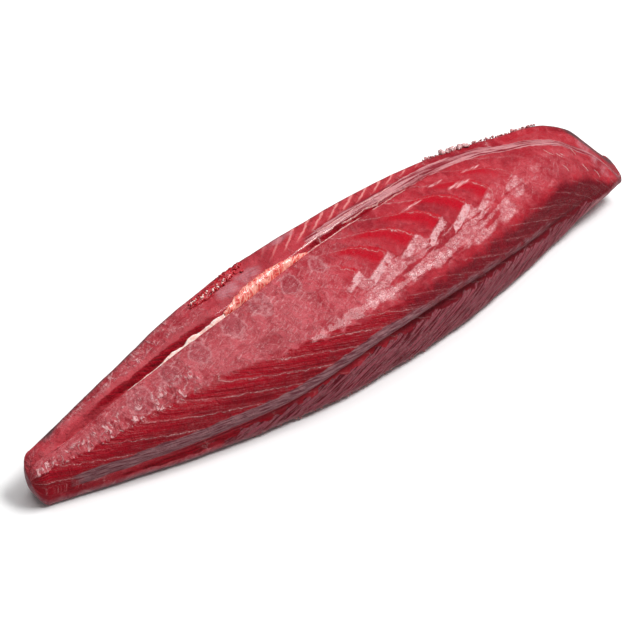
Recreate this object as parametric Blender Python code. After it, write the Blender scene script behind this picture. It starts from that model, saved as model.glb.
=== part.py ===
"""A skinless tuna loin: one quarter of the fish, lying on its skin side, in metres with +Z up.

The tail end is at -X and the head end at +X. The front face is at -Y, where the dark lateral muscle
was trimmed away. The broad face on top was cut along the backbone, and a seam parts it from the
narrow strip of fin muscle that runs along the back edge. The underside is flat, because soft flesh
settles on the table, and the head end rises clear of it.
"""

import math

import bmesh
import bpy
import numpy as np

MM = 0.001

# Driving sizes along the loin. Each tuple gives one size in millimetres at every station, where a
# station is a share of the length from the tail end.
LENGTH = 600.0
STATIONS = (0.00, 0.15, 0.30, 0.42, 0.51, 0.60, 0.70, 0.79, 0.86, 0.92, 0.97, 1.00)
TOE_Y = (-13, -34, -50, -57, -55, -50, -40, -26, -15, -8, -4, 1)
LIFT = (0, 0, 0, 0, 0, 0, 0, 0, 4, 12, 18, 20)
RIDGE_Z = (31, 46, 61, 69, 72, 73, 71, 69, 67, 56, 35, 24)
CREST_Y = (18, 37, 52, 61, 64, 67, 70, 69, 67, 67, 55, 26)
CREST_Z = (38, 57, 77, 85, 88, 89, 86, 79, 72, 65, 55, 36)
SEAM_SHARE = (0.55, 0.64, 0.64, 0.69, 0.74, 0.76, 0.80, 0.83, 0.86, 0.88, 0.90, 0.90)

# How the section is completed from those sizes, as shares of its own width or height.
RIDGE_OVERHANG = -0.02
FLANK_BULGE = 0.08
FLANK_RISE = 0.45
HEEL_SET_IN = 0.20
TOP_CROWN = 0.05
FRONT_CROWN = 0.03

# Corner roundings, as shares of the section's height: toe, ridge, crest, flank, heel. No rounding
# takes more than its limit of the side that it is cut from.
ROUNDINGS = (0.16, 0.30, 0.10, 0.45, 0.30)
ROUNDING_LIMIT = 0.45

# Ends: the tail is a blunt rounded cut, and the head closes to a thin rounded tip.
TAIL_CAP_DEPTH = 12.0
HEAD_CAP_DEPTH = 5.0
CAP_RINGS = 6
STRIP_SHORTER_BY = 9.0
NOTCH_LENGTH = 0.06

# Relief on the faces, in millimetres. The seam drops steeply under the lip of the broad face and
# rises gently to the strip, and it fades out before the head, while the strip stays crowned. The
# front face has a crease with a rounded band just above it, and the crease's place is a share of
# the face's height at every station.
SEAM_DEPTH = 4.4
SEAM_LIP_WIDTH = 1.9
SEAM_FLOOR_WIDTH = 4.2
SEAM_RUN = (0.0, 0.06, 0.64, 0.80)
STRIP_CROWN = 2.4
STRIP_RUN = (0.0, 0.06, 0.95, 1.0)
CREASE_SHARE = (0.30, 0.32, 0.33, 0.50, 0.59, 0.60, 0.56, 0.47, 0.42, 0.40, 0.40, 0.40)
CREASE_DEPTH = (0.6, 1.6, 2.0, 3.4, 4.2, 4.4, 3.8, 2.8, 1.6, 0.8, 0.0, 0.0)
CREASE_HALF_WIDTH = 4.2
BAND_ABOVE_CREASE = 8.5
BAND_HEIGHT = 2.0
BAND_HALF_WIDTH = 5.5
BAND_RUN = (0.02, 0.16, 0.78, 0.94)

# A torn lump of dark meat on the back edge, and the ragged fringe of membrane nearer the head.
TORN_LUMP = (0.285, 0.375)
TORN_LUMP_PLACE = 0.95
TORN_LUMP_SPREAD = 0.09
TORN_LUMP_HEIGHT = 2.6
FRINGE = (0.765, 0.785, 0.895, 0.915)
FRINGE_HEIGHT = 3.4

# Mesh: rows along the loin, and points across each face from toe to ridge, ridge to crest,
# crest to heel, and heel to toe.
BODY_ROWS = 82
FRONT_POINTS = 15
TOP_POINTS = 23
BACK_POINTS = 15
BASE_POINTS = 6
SEAM_PLACE = 0.68
CREASE_PLACE = 0.47
LINE_CROWDING = 1.35
CURVE_STEPS = 12
SEED = 7

FLESH_COLOUR = (0.36, 0.02, 0.035, 1.0)
FLESH_ROUGHNESS = 0.35


def along(sizes, share):
    """The size at each share of the length, by a smooth curve that never overshoots a station."""
    x = np.array(STATIONS)
    y = np.array(sizes, float)
    step = np.diff(x)
    slope = np.diff(y) / step
    tangent = np.zeros(len(x))
    same_way = slope[:-1] * slope[1:] > 0
    weight_a = 2 * step[1:] + step[:-1]
    weight_b = step[1:] + 2 * step[:-1]
    safe_a = np.where(same_way, slope[:-1], 1.0)
    safe_b = np.where(same_way, slope[1:], 1.0)
    mean = (weight_a + weight_b) / (weight_a / safe_a + weight_b / safe_b)
    tangent[1:-1] = np.where(same_way, mean, 0.0)
    tangent[0], tangent[-1] = slope[0], slope[-1]
    i = np.clip(np.searchsorted(x, share, side="right") - 1, 0, len(step) - 1)
    t = (np.clip(share, 0, 1) - x[i]) / step[i]
    return (
        (1 + 2 * t) * (1 - t) ** 2 * y[i]
        + t * (1 - t) ** 2 * step[i] * tangent[i]
        + t**2 * (3 - 2 * t) * y[i + 1]
        + t**2 * (t - 1) * step[i] * tangent[i + 1]
    )


def smooth_step(low, high, value):
    """0 below low, 1 above high, and a smooth rise between them."""
    t = np.clip((value - low) / (high - low), 0, 1)
    return t * t * (3 - 2 * t)


def rise_and_fall(run, value):
    """0 outside a run of four shares, 1 between the middle two, and smooth between."""
    return smooth_step(run[0], run[1], value) * (1 - smooth_step(run[2], run[3], value))


def hump(centre, half_width, value):
    """A bell of height 1 at the centre."""
    return np.exp(-(((value - centre) / half_width) ** 2))


def section_corners(share):
    """The five corners of the section, in order round it: toe, ridge, crest, flank, heel."""
    toe_y, lift = along(TOE_Y, share), along(LIFT, share)
    ridge_z = along(RIDGE_Z, share)
    crest_y, crest_z = along(CREST_Y, share), along(CREST_Z, share)
    width, height = crest_y - toe_y, crest_z - lift
    return np.array(
        [
            (toe_y, lift),
            (toe_y - RIDGE_OVERHANG * width, ridge_z),
            (crest_y, crest_z),
            (crest_y + FLANK_BULGE * width, lift + FLANK_RISE * height),
            (crest_y - HEEL_SET_IN * width, lift),
        ]
    )


def corner_cuts(corners):
    """How far from each corner its rounding starts, on both sides that meet there."""
    height = corners[2][1] - corners[0][1]
    cuts = []
    for n, corner in enumerate(corners):
        shorter = min(math.dist(corner, corners[n - 1]), math.dist(corner, corners[(n + 1) % len(corners)]))
        cuts.append(min(ROUNDINGS[n] * height, ROUNDING_LIMIT * shorter))
    return cuts


def section_outline(share):
    """A dense outline of one section, and the index on it of each corner's middle."""
    corners = section_corners(share)
    cuts = corner_cuts(corners)
    crowns = (FRONT_CROWN, TOP_CROWN, 0.0, 0.0, 0.0)
    points, middles = [], []
    for n, corner in enumerate(corners):
        following = (n + 1) % len(corners)
        before, after = corners[n - 1], corners[following]
        start = corner + (before - corner) * cuts[n] / math.dist(corner, before)
        end = corner + (after - corner) * cuts[n] / math.dist(corner, after)
        for k in range(CURVE_STEPS + 1):
            t = k / CURVE_STEPS
            points.append((1 - t) ** 2 * start + 2 * t * (1 - t) * corner + t**2 * end)
        middles.append(len(points) - 1 - CURVE_STEPS // 2)
        edge = after + (corner - after) * cuts[following] / math.dist(corner, after) - end
        outward = np.array((-edge[1], edge[0]))
        for k in range(1, CURVE_STEPS):
            t = k / CURVE_STEPS
            points.append(end + edge * t + outward * crowns[n] * 4 * t * (1 - t))
    return np.array(points), middles


def face_shares(count, line=None, line_place=None):
    """Evenly spaced shares across a face. With a line, the shares crowd towards it and one is on it."""
    if line is None:
        return np.arange(count) / count
    place = round(line_place * count)
    below = 1 - (1 - np.arange(place) / place) ** LINE_CROWDING
    above = (np.arange(count - place) / (count - place)) ** LINE_CROWDING
    return np.concatenate([below * line, line + above * (1 - line)])


def section_points(share):
    """One ring of the mesh: its points, and for each its face (0 to 3) and its share across it."""
    outline, middles = section_outline(share)
    outline = np.roll(outline, -middles[0], axis=0)
    middles = [m - middles[0] for m in middles]
    closed = np.vstack([outline, outline[:1]])
    run = np.concatenate([[0], np.cumsum(np.linalg.norm(np.diff(closed, axis=0), axis=1))])
    bounds = [0, run[middles[1]], run[middles[2]], run[middles[4]], run[-1]]
    shares = (
        face_shares(FRONT_POINTS, float(along(CREASE_SHARE, share)), CREASE_PLACE),
        face_shares(TOP_POINTS, float(along(SEAM_SHARE, share)), SEAM_PLACE),
        face_shares(BACK_POINTS),
        face_shares(BASE_POINTS),
    )
    ring, faces, across = [], [], []
    for face, part in enumerate(shares):
        at = bounds[face] + part * (bounds[face + 1] - bounds[face])
        ring.append(np.stack([np.interp(at, run, closed[:, 0]), np.interp(at, run, closed[:, 1])], 1))
        faces.append(np.full(len(part), face))
        across.append(part)
    lengths = np.diff(bounds)
    faces = np.concatenate(faces)
    return np.concatenate(ring), faces, np.concatenate(across), lengths[faces]


def relief(share, faces, across, face_length, random):
    """How far each point of a ring stands out from the plain form, in millimetres."""
    front, top = faces == 0, faces == 1
    seam = float(along(SEAM_SHARE, share))
    from_seam = (across - seam) * face_length
    out = np.zeros(len(faces))
    seam_width = np.where(from_seam < 0, SEAM_LIP_WIDTH, SEAM_FLOOR_WIDTH)
    out -= top * rise_and_fall(SEAM_RUN, share) * SEAM_DEPTH * hump(0, seam_width, from_seam)
    on_strip = np.clip((across - seam) / (1 - seam), 0, 1)
    out += top * rise_and_fall(STRIP_RUN, share) * STRIP_CROWN * np.sin(math.pi * on_strip)
    from_crease = (across - float(along(CREASE_SHARE, share))) * face_length
    out -= front * float(along(CREASE_DEPTH, share)) * hump(0, CREASE_HALF_WIDTH, from_crease)
    band_height = BAND_HEIGHT * rise_and_fall(BAND_RUN, share)
    out += front * band_height * hump(BAND_ABOVE_CREASE, BAND_HALF_WIDTH, from_crease)
    near_crest = top * hump(TORN_LUMP_PLACE, TORN_LUMP_SPREAD, across)
    lump_centre = sum(TORN_LUMP) / 2
    lump_half = (TORN_LUMP[1] - TORN_LUMP[0]) / 2
    out += near_crest * TORN_LUMP_HEIGHT * hump(lump_centre, lump_half, share)
    at_crest = (faces == 2) & (across == 0)
    out += at_crest * rise_and_fall(FRINGE, share) * FRINGE_HEIGHT * random.random()
    return out


def loin_grid():
    """The rows of the mesh from tail to head, as points in millimetres, rows by ring points by 3."""
    random = np.random.default_rng(SEED)
    shares = np.linspace(0, 1, BODY_ROWS)
    rings = [section_points(share) for share in shares]
    rows = np.array(
        [
            np.column_stack([np.full(len(ring), (share - 0.5) * LENGTH), ring])
            for share, (ring, _, _, _) in zip(shares, rings)
        ]
    )
    lengthwise = np.gradient(rows, axis=0)
    crosswise = np.roll(rows, -1, axis=1) - np.roll(rows, 1, axis=1)
    normal = np.cross(lengthwise, crosswise)
    normal /= np.linalg.norm(normal, axis=2, keepdims=True)
    outward = rows - rows.mean(axis=1, keepdims=True)
    normal *= np.sign(np.sum(normal * outward, axis=(1, 2), keepdims=True))
    heights = np.array(
        [relief(share, ring[1], ring[2], ring[3], random) for share, ring in zip(shares, rings)]
    )
    rows = rows + normal * heights[:, :, None]
    on_strip = (rings[0][1] == 1) & (rings[0][2] > along(SEAM_SHARE, 0.0))
    step_back = STRIP_SHORTER_BY * on_strip * (1 - smooth_step(0.0, NOTCH_LENGTH, shares))[:, None]
    rows[:, :, 0] += step_back
    rows[:, :, 2] = np.maximum(rows[:, :, 2], 0.0)
    return np.concatenate([end_cap(rows[0], -TAIL_CAP_DEPTH), rows, end_cap(rows[-1], HEAD_CAP_DEPTH)[::-1]])


def end_cap(ring, depth):
    """Rings that close an end, from its middle point out to the ring, on a quarter of an ellipse."""
    centre = ring.mean(axis=0)
    rings = []
    for k in range(CAP_RINGS):
        turn = math.pi / 2 * k / CAP_RINGS
        closing = centre + (ring - centre) * math.sin(turn)
        closing[:, 0] += depth * math.cos(turn)
        closing[:, 2] = np.maximum(closing[:, 2], 0.0)
        rings.append(closing)
    return np.array(rings)


def centred(grid):
    """The grid moved so that its box is centred on X and Y and stands on Z = 0."""
    low, high = grid.min(axis=(0, 1)), grid.max(axis=(0, 1))
    middle = (low + high) / 2
    return grid - np.array((middle[0], middle[1], low[2]))


def flesh_material():
    """Raw tuna flesh: deep red, moist and slightly glossy."""
    material = bpy.data.materials.new("tuna_flesh")
    material.use_nodes = True
    shader = material.node_tree.nodes["Principled BSDF"]
    shader.inputs["Base Color"].default_value = FLESH_COLOUR
    shader.inputs["Roughness"].default_value = FLESH_ROUGHNESS
    shader.inputs["Metallic"].default_value = 0.0
    return material


def loin_object(grid):
    """A flat sheet of quads wrapped round the rings, with its long edges and both ends sewn shut."""
    rows, ring_points = grid.shape[:2]
    mesh = bmesh.new()
    bmesh.ops.create_grid(mesh, x_segments=rows - 1, y_segments=ring_points, size=1.0)
    for vertex in mesh.verts:
        row = round((vertex.co.x + 1) / 2 * (rows - 1))
        place = round((vertex.co.y + 1) / 2 * ring_points) % ring_points
        vertex.co = grid[row, place] * MM
    bmesh.ops.remove_doubles(mesh, verts=mesh.verts, dist=1e-6)
    bmesh.ops.recalc_face_normals(mesh, faces=mesh.faces)
    bmesh.ops.triangulate(mesh, faces=mesh.faces)
    data = bpy.data.meshes.new("tuna_fillet")
    mesh.to_mesh(data)
    mesh.free()
    data.shade_smooth()
    data.materials.append(flesh_material())
    fillet = bpy.data.objects.new("tuna_fillet", data)
    bpy.context.scene.collection.objects.link(fillet)
    return fillet


def build():
    """Clears the scene and makes the fillet."""
    for old in list(bpy.data.objects):
        bpy.data.objects.remove(old)
    loin_object(centred(loin_grid()))


build()
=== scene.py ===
"""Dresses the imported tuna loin: wet red flesh, the tissue in its seam, its torn edges, and a pale studio.

Sizes are in millimetres until a mesh is made, and a place on the loin is given as a share of its length
from the tail and a distance round its section from one of its natural lines.
"""

from __future__ import annotations

import functools
import logging
import math
from dataclasses import dataclass, field
from enum import Enum
from typing import ClassVar

import bmesh
import bpy
import numpy as np
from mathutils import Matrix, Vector

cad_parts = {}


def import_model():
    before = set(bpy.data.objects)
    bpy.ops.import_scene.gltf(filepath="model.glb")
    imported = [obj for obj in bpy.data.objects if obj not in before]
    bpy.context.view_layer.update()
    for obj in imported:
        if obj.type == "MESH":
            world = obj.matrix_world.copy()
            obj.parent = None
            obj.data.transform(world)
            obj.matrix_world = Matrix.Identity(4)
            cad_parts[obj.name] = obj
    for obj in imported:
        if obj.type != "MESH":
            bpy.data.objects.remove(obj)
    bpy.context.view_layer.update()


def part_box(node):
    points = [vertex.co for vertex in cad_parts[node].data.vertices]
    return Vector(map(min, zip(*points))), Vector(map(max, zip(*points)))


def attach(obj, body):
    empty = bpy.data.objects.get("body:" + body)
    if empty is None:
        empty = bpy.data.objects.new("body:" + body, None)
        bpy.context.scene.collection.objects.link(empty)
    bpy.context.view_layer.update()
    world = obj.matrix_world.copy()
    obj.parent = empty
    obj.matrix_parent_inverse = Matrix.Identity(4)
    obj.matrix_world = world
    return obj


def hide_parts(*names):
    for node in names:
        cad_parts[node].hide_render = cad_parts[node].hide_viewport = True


LOG = logging.getLogger("tuna_loin")
MM = 0.001
BODY = "root"
NODE = "tuna_fillet"


class Line(Enum):
    """A natural line along the loin that places are measured from, going round from the front's foot."""

    TOE = 0
    CREASE = 1
    RIDGE = 2
    SEAM = 3
    CREST = 4
    HEEL = 5


def linear(hex_colour: str) -> tuple[float, float, float, float]:
    """Turns an sRGB hex colour into linear light.

    Args:
        hex_colour: six hex digits, with or without a leading mark.

    Returns:
        Red, green and blue in linear light, and an alpha of 1.
    """
    digits = hex_colour.lstrip("#")
    parts = [int(digits[n : n + 2], 16) / 255 for n in (0, 2, 4)]
    light = [c / 12.92 if c <= 0.04045 else ((c + 0.055) / 1.055) ** 2.4 for c in parts]
    return (*light, 1.0)


def feed(tree: bpy.types.NodeTree, node: bpy.types.Node, inputs: dict) -> None:
    """Links each of a node's inputs to its socket, or sets it to its value.

    Args:
        tree: the material's or the world's node tree.
        node: the node to feed.
        inputs: for each input's name or number, a socket to link or a value to set.
    """
    for name, value in inputs.items():
        if isinstance(value, bpy.types.NodeSocket):
            tree.links.new(value, node.inputs[name])
        else:
            node.inputs[name].default_value = value


def add_node(
    tree: bpy.types.NodeTree, kind: str, inputs: dict | None = None, out: int = 0, **settings: object
) -> bpy.types.NodeSocket:
    """Adds a shader node, sets it and links it.

    A mix takes its share at 0 and its colours at 6 and 7. A range takes a value at 0, its limits at 1
    and 2, and the values that they turn to at 3 and 4.

    Args:
        tree: the material's node tree.
        kind: the node's type, without its ShaderNode prefix.
        inputs: for each input's name or number, a socket to link or a value to set.
        out: the number of the output to give back.
        **settings: the node's own settings.

    Returns:
        The chosen output socket.
    """
    made = tree.nodes.new("ShaderNode" + kind)
    for name, value in settings.items():
        setattr(made, name, value)
    feed(tree, made, inputs or {})
    return made.outputs[out]


def blank_material(name: str) -> tuple[bpy.types.Material, bpy.types.Node]:
    """A new material, and its shader to be dressed."""
    material = bpy.data.materials.new(name)
    material.use_nodes = True
    return material, material.node_tree.nodes["Principled BSDF"]


def smooth_step(low: float, high: float, value: np.ndarray) -> np.ndarray:
    """0 below low, 1 above high, and a smooth rise between them."""
    t = np.clip((value - low) / (high - low), 0, 1)
    return t * t * (3 - 2 * t)


def rise_and_fall(run: tuple[float, float, float, float], value: np.ndarray) -> np.ndarray:
    """0 outside a run of four values, 1 between the middle two, and smooth between."""
    return smooth_step(run[0], run[1], value) * (1 - smooth_step(run[2], run[3], value))


def hump(centre: float, half_width: float, value: np.ndarray) -> np.ndarray:
    """A bell of height 1 at the centre."""
    return np.exp(-(((value - centre) / half_width) ** 2))


@dataclass(frozen=True)
class Ripple:
    """Smooth seeded unevenness over a flat pair of coordinates, from -1 to 1."""

    seed: int
    table_size: int = 128

    def at(self, x: np.ndarray, y: np.ndarray, cell: float) -> np.ndarray:
        """One layer of ripples.

        Args:
            x: first coordinate, in millimetres.
            y: second coordinate, in millimetres.
            cell: the ripple's size, in millimetres.

        Returns:
            A value from -1 to 1 for each pair.
        """
        table = np.random.default_rng(self.seed).uniform(-1, 1, (self.table_size, self.table_size))
        u, v = np.broadcast_arrays(np.asarray(x, float) / cell, np.asarray(y, float) / cell)
        i, j = np.floor(u).astype(int), np.floor(v).astype(int)
        a, b = u - i, v - j
        a, b = a * a * (3 - 2 * a), b * b * (3 - 2 * b)
        n = self.table_size
        low = table[i % n, j % n] * (1 - a) + table[(i + 1) % n, j % n] * a
        high = table[i % n, (j + 1) % n] * (1 - a) + table[(i + 1) % n, (j + 1) % n] * a
        return low * (1 - b) + high * b

    def layered(self, x: np.ndarray, y: np.ndarray, cell: float, layers: int = 3) -> np.ndarray:
        """Ripples with finer ones on them, each layer half the size and half the height."""
        total = np.zeros(np.broadcast(x, y).shape)
        for n in range(layers):
            total += Ripple(self.seed + 17 * n).at(x, y, cell / 2**n) / 2**n
        return total / (2 - 2 ** (1 - layers))


@dataclass(frozen=True)
class LoinForm:
    """The loin's plain form, with the solid's own sizes: one value in millimetres at every station."""

    length: float = 600.0
    stations: tuple = (0.00, 0.15, 0.30, 0.42, 0.51, 0.60, 0.70, 0.79, 0.86, 0.92, 0.97, 1.00)
    toe_y: tuple = (-13, -34, -50, -57, -55, -50, -40, -26, -15, -8, -4, 1)
    lift: tuple = (0, 0, 0, 0, 0, 0, 0, 0, 4, 12, 18, 20)
    ridge_z: tuple = (31, 46, 61, 69, 72, 73, 71, 69, 67, 56, 35, 24)
    crest_y: tuple = (18, 37, 52, 61, 64, 67, 70, 69, 67, 67, 55, 26)
    crest_z: tuple = (38, 57, 77, 85, 88, 89, 86, 79, 72, 65, 55, 36)
    seam_share: tuple = (0.55, 0.64, 0.64, 0.69, 0.74, 0.76, 0.80, 0.83, 0.86, 0.88, 0.90, 0.90)
    crease_share: tuple = (0.30, 0.32, 0.33, 0.50, 0.59, 0.60, 0.56, 0.47, 0.42, 0.40, 0.40, 0.40)
    crease_depth: tuple = (0.6, 1.6, 2.0, 3.4, 4.2, 4.4, 3.8, 2.8, 1.6, 0.8, 0.0, 0.0)
    ridge_overhang: float = -0.02
    flank_bulge: float = 0.08
    flank_rise: float = 0.45
    heel_set_in: float = 0.20
    crowns: tuple = (0.03, 0.05, 0.0, 0.0, 0.0)
    roundings: tuple = (0.16, 0.30, 0.10, 0.45, 0.30)
    rounding_limit: float = 0.45
    tail_cap_depth: float = 12.0
    head_cap_depth: float = 5.0
    curve_steps: int = 12
    strip_shorter_by: float = 9.0
    notch_length: float = 0.06

    def along(self, sizes: tuple, share: np.ndarray | float) -> np.ndarray:
        """The size at each share of the length, by a smooth curve that never overshoots a station.

        Args:
            sizes: one value for each station.
            share: shares of the length from the tail.

        Returns:
            The size at each share.
        """
        x, y = np.array(self.stations), np.array(sizes, float)
        step = np.diff(x)
        slope = np.diff(y) / step
        same_way = slope[:-1] * slope[1:] > 0
        weight_a, weight_b = 2 * step[1:] + step[:-1], step[1:] + 2 * step[:-1]
        safe_a, safe_b = np.where(same_way, slope[:-1], 1.0), np.where(same_way, slope[1:], 1.0)
        mean = (weight_a + weight_b) / (weight_a / safe_a + weight_b / safe_b)
        tangent = np.concatenate([slope[:1], np.where(same_way, mean, 0.0), slope[-1:]])
        i = np.clip(np.searchsorted(x, share, side="right") - 1, 0, len(step) - 1)
        t = (np.clip(share, 0, 1) - x[i]) / step[i]
        return (
            (1 + 2 * t) * (1 - t) ** 2 * y[i]
            + t * (1 - t) ** 2 * step[i] * tangent[i]
            + t**2 * (3 - 2 * t) * y[i + 1]
            + t**2 * (t - 1) * step[i] * tangent[i + 1]
        )

    def corners(self, share: float) -> np.ndarray:
        """The section's five corners in order: toe, ridge, crest, flank, heel."""
        toe_y, lift = self.along(self.toe_y, share), self.along(self.lift, share)
        crest_y, crest_z = self.along(self.crest_y, share), self.along(self.crest_z, share)
        width, height = crest_y - toe_y, crest_z - lift
        return np.array(
            [
                (toe_y, lift),
                (toe_y - self.ridge_overhang * width, self.along(self.ridge_z, share)),
                (crest_y, crest_z),
                (crest_y + self.flank_bulge * width, lift + self.flank_rise * height),
                (crest_y - self.heel_set_in * width, lift),
            ]
        )

    def outline(self, share: float) -> tuple[np.ndarray, list[float], np.ndarray]:
        """A dense outline of one section, starting at the toe.

        Args:
            share: the section's place along the loin.

        Returns:
            The closed outline's points, the distance round it of each point, and the distances round it
            of the toe, ridge, crest and heel, ending with its whole length.
        """
        corners = self.corners(share)
        count = len(corners)
        height = corners[2][1] - corners[0][1]
        cuts = []
        for n, corner in enumerate(corners):
            shorter = min(math.dist(corner, corners[n - 1]), math.dist(corner, corners[(n + 1) % count]))
            cuts.append(min(self.roundings[n] * height, self.rounding_limit * shorter))
        points, middles = [], []
        for n, corner in enumerate(corners):
            following = (n + 1) % count
            before, after = corners[n - 1], corners[following]
            start = corner + (before - corner) * cuts[n] / math.dist(corner, before)
            end = corner + (after - corner) * cuts[n] / math.dist(corner, after)
            t = np.linspace(0, 1, self.curve_steps + 1)[:, None]
            points.extend((1 - t) ** 2 * start + 2 * t * (1 - t) * corner + t**2 * end)
            middles.append(len(points) - 1 - self.curve_steps // 2)
            edge = after + (corner - after) * cuts[following] / math.dist(corner, after) - end
            outward = np.array((-edge[1], edge[0]))
            t = t[1:-1]
            points.extend(end + edge * t + outward * self.crowns[n] * 4 * t * (1 - t))
        outline = np.roll(np.array(points), -middles[0], axis=0)
        closed = np.vstack([outline, outline[:1]])
        run = np.concatenate([[0], np.cumsum(np.linalg.norm(np.diff(closed, axis=0), axis=1))])
        bounds = np.array([0, *(run[middles[n] - middles[0]] for n in (1, 2, 4)), run[-1]])
        return closed, run, bounds


@dataclass
class LoinSurface:
    """The loin's surface as a table: rows from tail to head, by places round the section.

    Every field made by the table has one value for each row and place, in millimetres.
    """

    form: LoinForm
    body_rows: int = 362
    cap_rows: int = 8
    front_points: int = 64
    top_points: int = 106
    back_points: int = 52
    base_points: int = 24
    crease_place: float = 0.47
    seam_place: float = 0.68
    crowding: float = 1.3
    share: np.ndarray = field(init=False)
    points: np.ndarray = field(init=False)
    normals: np.ndarray = field(init=False)
    round_at: np.ndarray = field(init=False)
    bounds: np.ndarray = field(init=False)

    def __post_init__(self) -> None:
        """Lays out the plain form's points, with no relief on them."""
        self.share = np.linspace(0, 1, self.body_rows)
        rings, ats, bounds = [], [], []
        for share in self.share:
            closed, run, marks = self.form.outline(float(share))
            at = self.ring_places(float(share), marks)
            rings.append(np.stack([np.interp(at, run, closed[:, 0]), np.interp(at, run, closed[:, 1])], 1))
            ats.append(at)
            bounds.append(marks)
        self.round_at, self.bounds = np.array(ats), np.array(bounds)
        x = np.broadcast_to(((self.share - 0.5) * self.form.length)[:, None], self.round_at.shape)
        self.points = np.concatenate([x[:, :, None], np.array(rings)], axis=2)
        self.find_normals()

    def ring_places(self, share: float, marks: np.ndarray) -> np.ndarray:
        """Distances round one section of the mesh's places, crowded towards the crease and the seam."""
        toe, ridge, crest, heel, whole = marks
        crease = float(self.form.along(self.form.crease_share, share))
        seam = float(self.form.along(self.form.seam_share, share))
        front = self.crowd(self.front_points, crease, self.crease_place)
        top = self.crowd(self.top_points, seam, self.seam_place)
        back = np.arange(self.back_points) / self.back_points
        base = np.arange(self.base_points) / self.base_points
        return np.concatenate(
            [
                toe + front * (ridge - toe),
                ridge + top * (crest - ridge),
                crest + back * (heel - crest),
                heel + base * (whole - heel),
            ]
        )

    def crowd(self, count: int, line: float, line_place: float) -> np.ndarray:
        """Shares across a face that crowd towards a line, with one exactly on it."""
        place = round(line_place * count)
        below = 1 - (1 - np.arange(place) / place) ** self.crowding
        above = (np.arange(count - place) / (count - place)) ** self.crowding
        return np.concatenate([below * line, line + above * (1 - line)])

    def find_normals(self) -> None:
        """Works out each point's outward normal from its neighbours."""
        lengthwise = np.gradient(self.points, axis=0)
        crosswise = np.roll(self.points, -1, axis=1) - np.roll(self.points, 1, axis=1)
        normal = np.cross(lengthwise, crosswise)
        normal /= np.maximum(np.linalg.norm(normal, axis=2, keepdims=True), 1e-9)
        outward = self.points - self.points.mean(axis=1, keepdims=True)
        self.normals = normal * np.sign(np.sum(normal * outward, axis=(1, 2), keepdims=True))

    def line_at(self, line: Line) -> np.ndarray:
        """The distance round each section at which a natural line lies."""
        toe, ridge, crest, heel, _ = self.bounds.T
        if line is Line.SEAM:
            return ridge + (crest - ridge) * self.form.along(self.form.seam_share, self.share)
        if line is Line.CREASE:
            return ridge * self.form.along(self.form.crease_share, self.share)
        return {Line.TOE: toe, Line.RIDGE: ridge, Line.CREST: crest, Line.HEEL: heel}[line]

    def past(self, line: Line) -> np.ndarray:
        """How far each point is past a natural line, going round; negative before it."""
        return self.round_at - self.line_at(line)[:, None]

    def broad_width(self) -> np.ndarray:
        """The broad face's width at each row, from the ridge to the seam."""
        return (self.line_at(Line.SEAM) - self.line_at(Line.RIDGE))[:, None]

    def spot(
        self, share: float, line: Line, past: float, lift: float = 0.0
    ) -> tuple[np.ndarray, np.ndarray]:
        """A place on the finished surface.

        Args:
            share: share of the length from the tail.
            line: the natural line to measure from.
            past: how far past that line, going round.
            lift: how far out from the surface.

        Returns:
            The place and its outward normal.
        """
        row = float(np.clip(share, 0, 1)) * (self.body_rows - 1)
        low = min(int(row), self.body_rows - 2)
        blend = row - low
        found = []
        for n in (low, low + 1):
            whole = self.bounds[n][-1]
            at = (self.line_at(line)[n] + past) % whole
            ring_at = np.append(self.round_at[n], whole)
            both = np.concatenate([self.points[n], self.normals[n]], axis=1)
            both = np.vstack([both, both[:1]])
            found.append([np.interp(at, ring_at, both[:, k]) for k in range(6)])
        mixed = np.array(found[0]) * (1 - blend) + np.array(found[1]) * blend
        normal = mixed[3:] / np.linalg.norm(mixed[3:])
        return mixed[:3] + normal * lift, normal

    def settle(self) -> None:
        """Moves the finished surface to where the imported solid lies."""
        low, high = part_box(NODE)
        middle = (np.array(low) + np.array(high)) / 2 / MM
        mine_low, mine_high = self.points.min(axis=(0, 1)), self.points.max(axis=(0, 1))
        self.points[:, :, 1] += middle[1] - (mine_low[1] + mine_high[1]) / 2
        self.points[:, :, 0] += (self.form.tail_cap_depth - self.form.head_cap_depth) / 2
        self.points[:, :, 2] = np.maximum(self.points[:, :, 2], 0.0)


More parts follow.
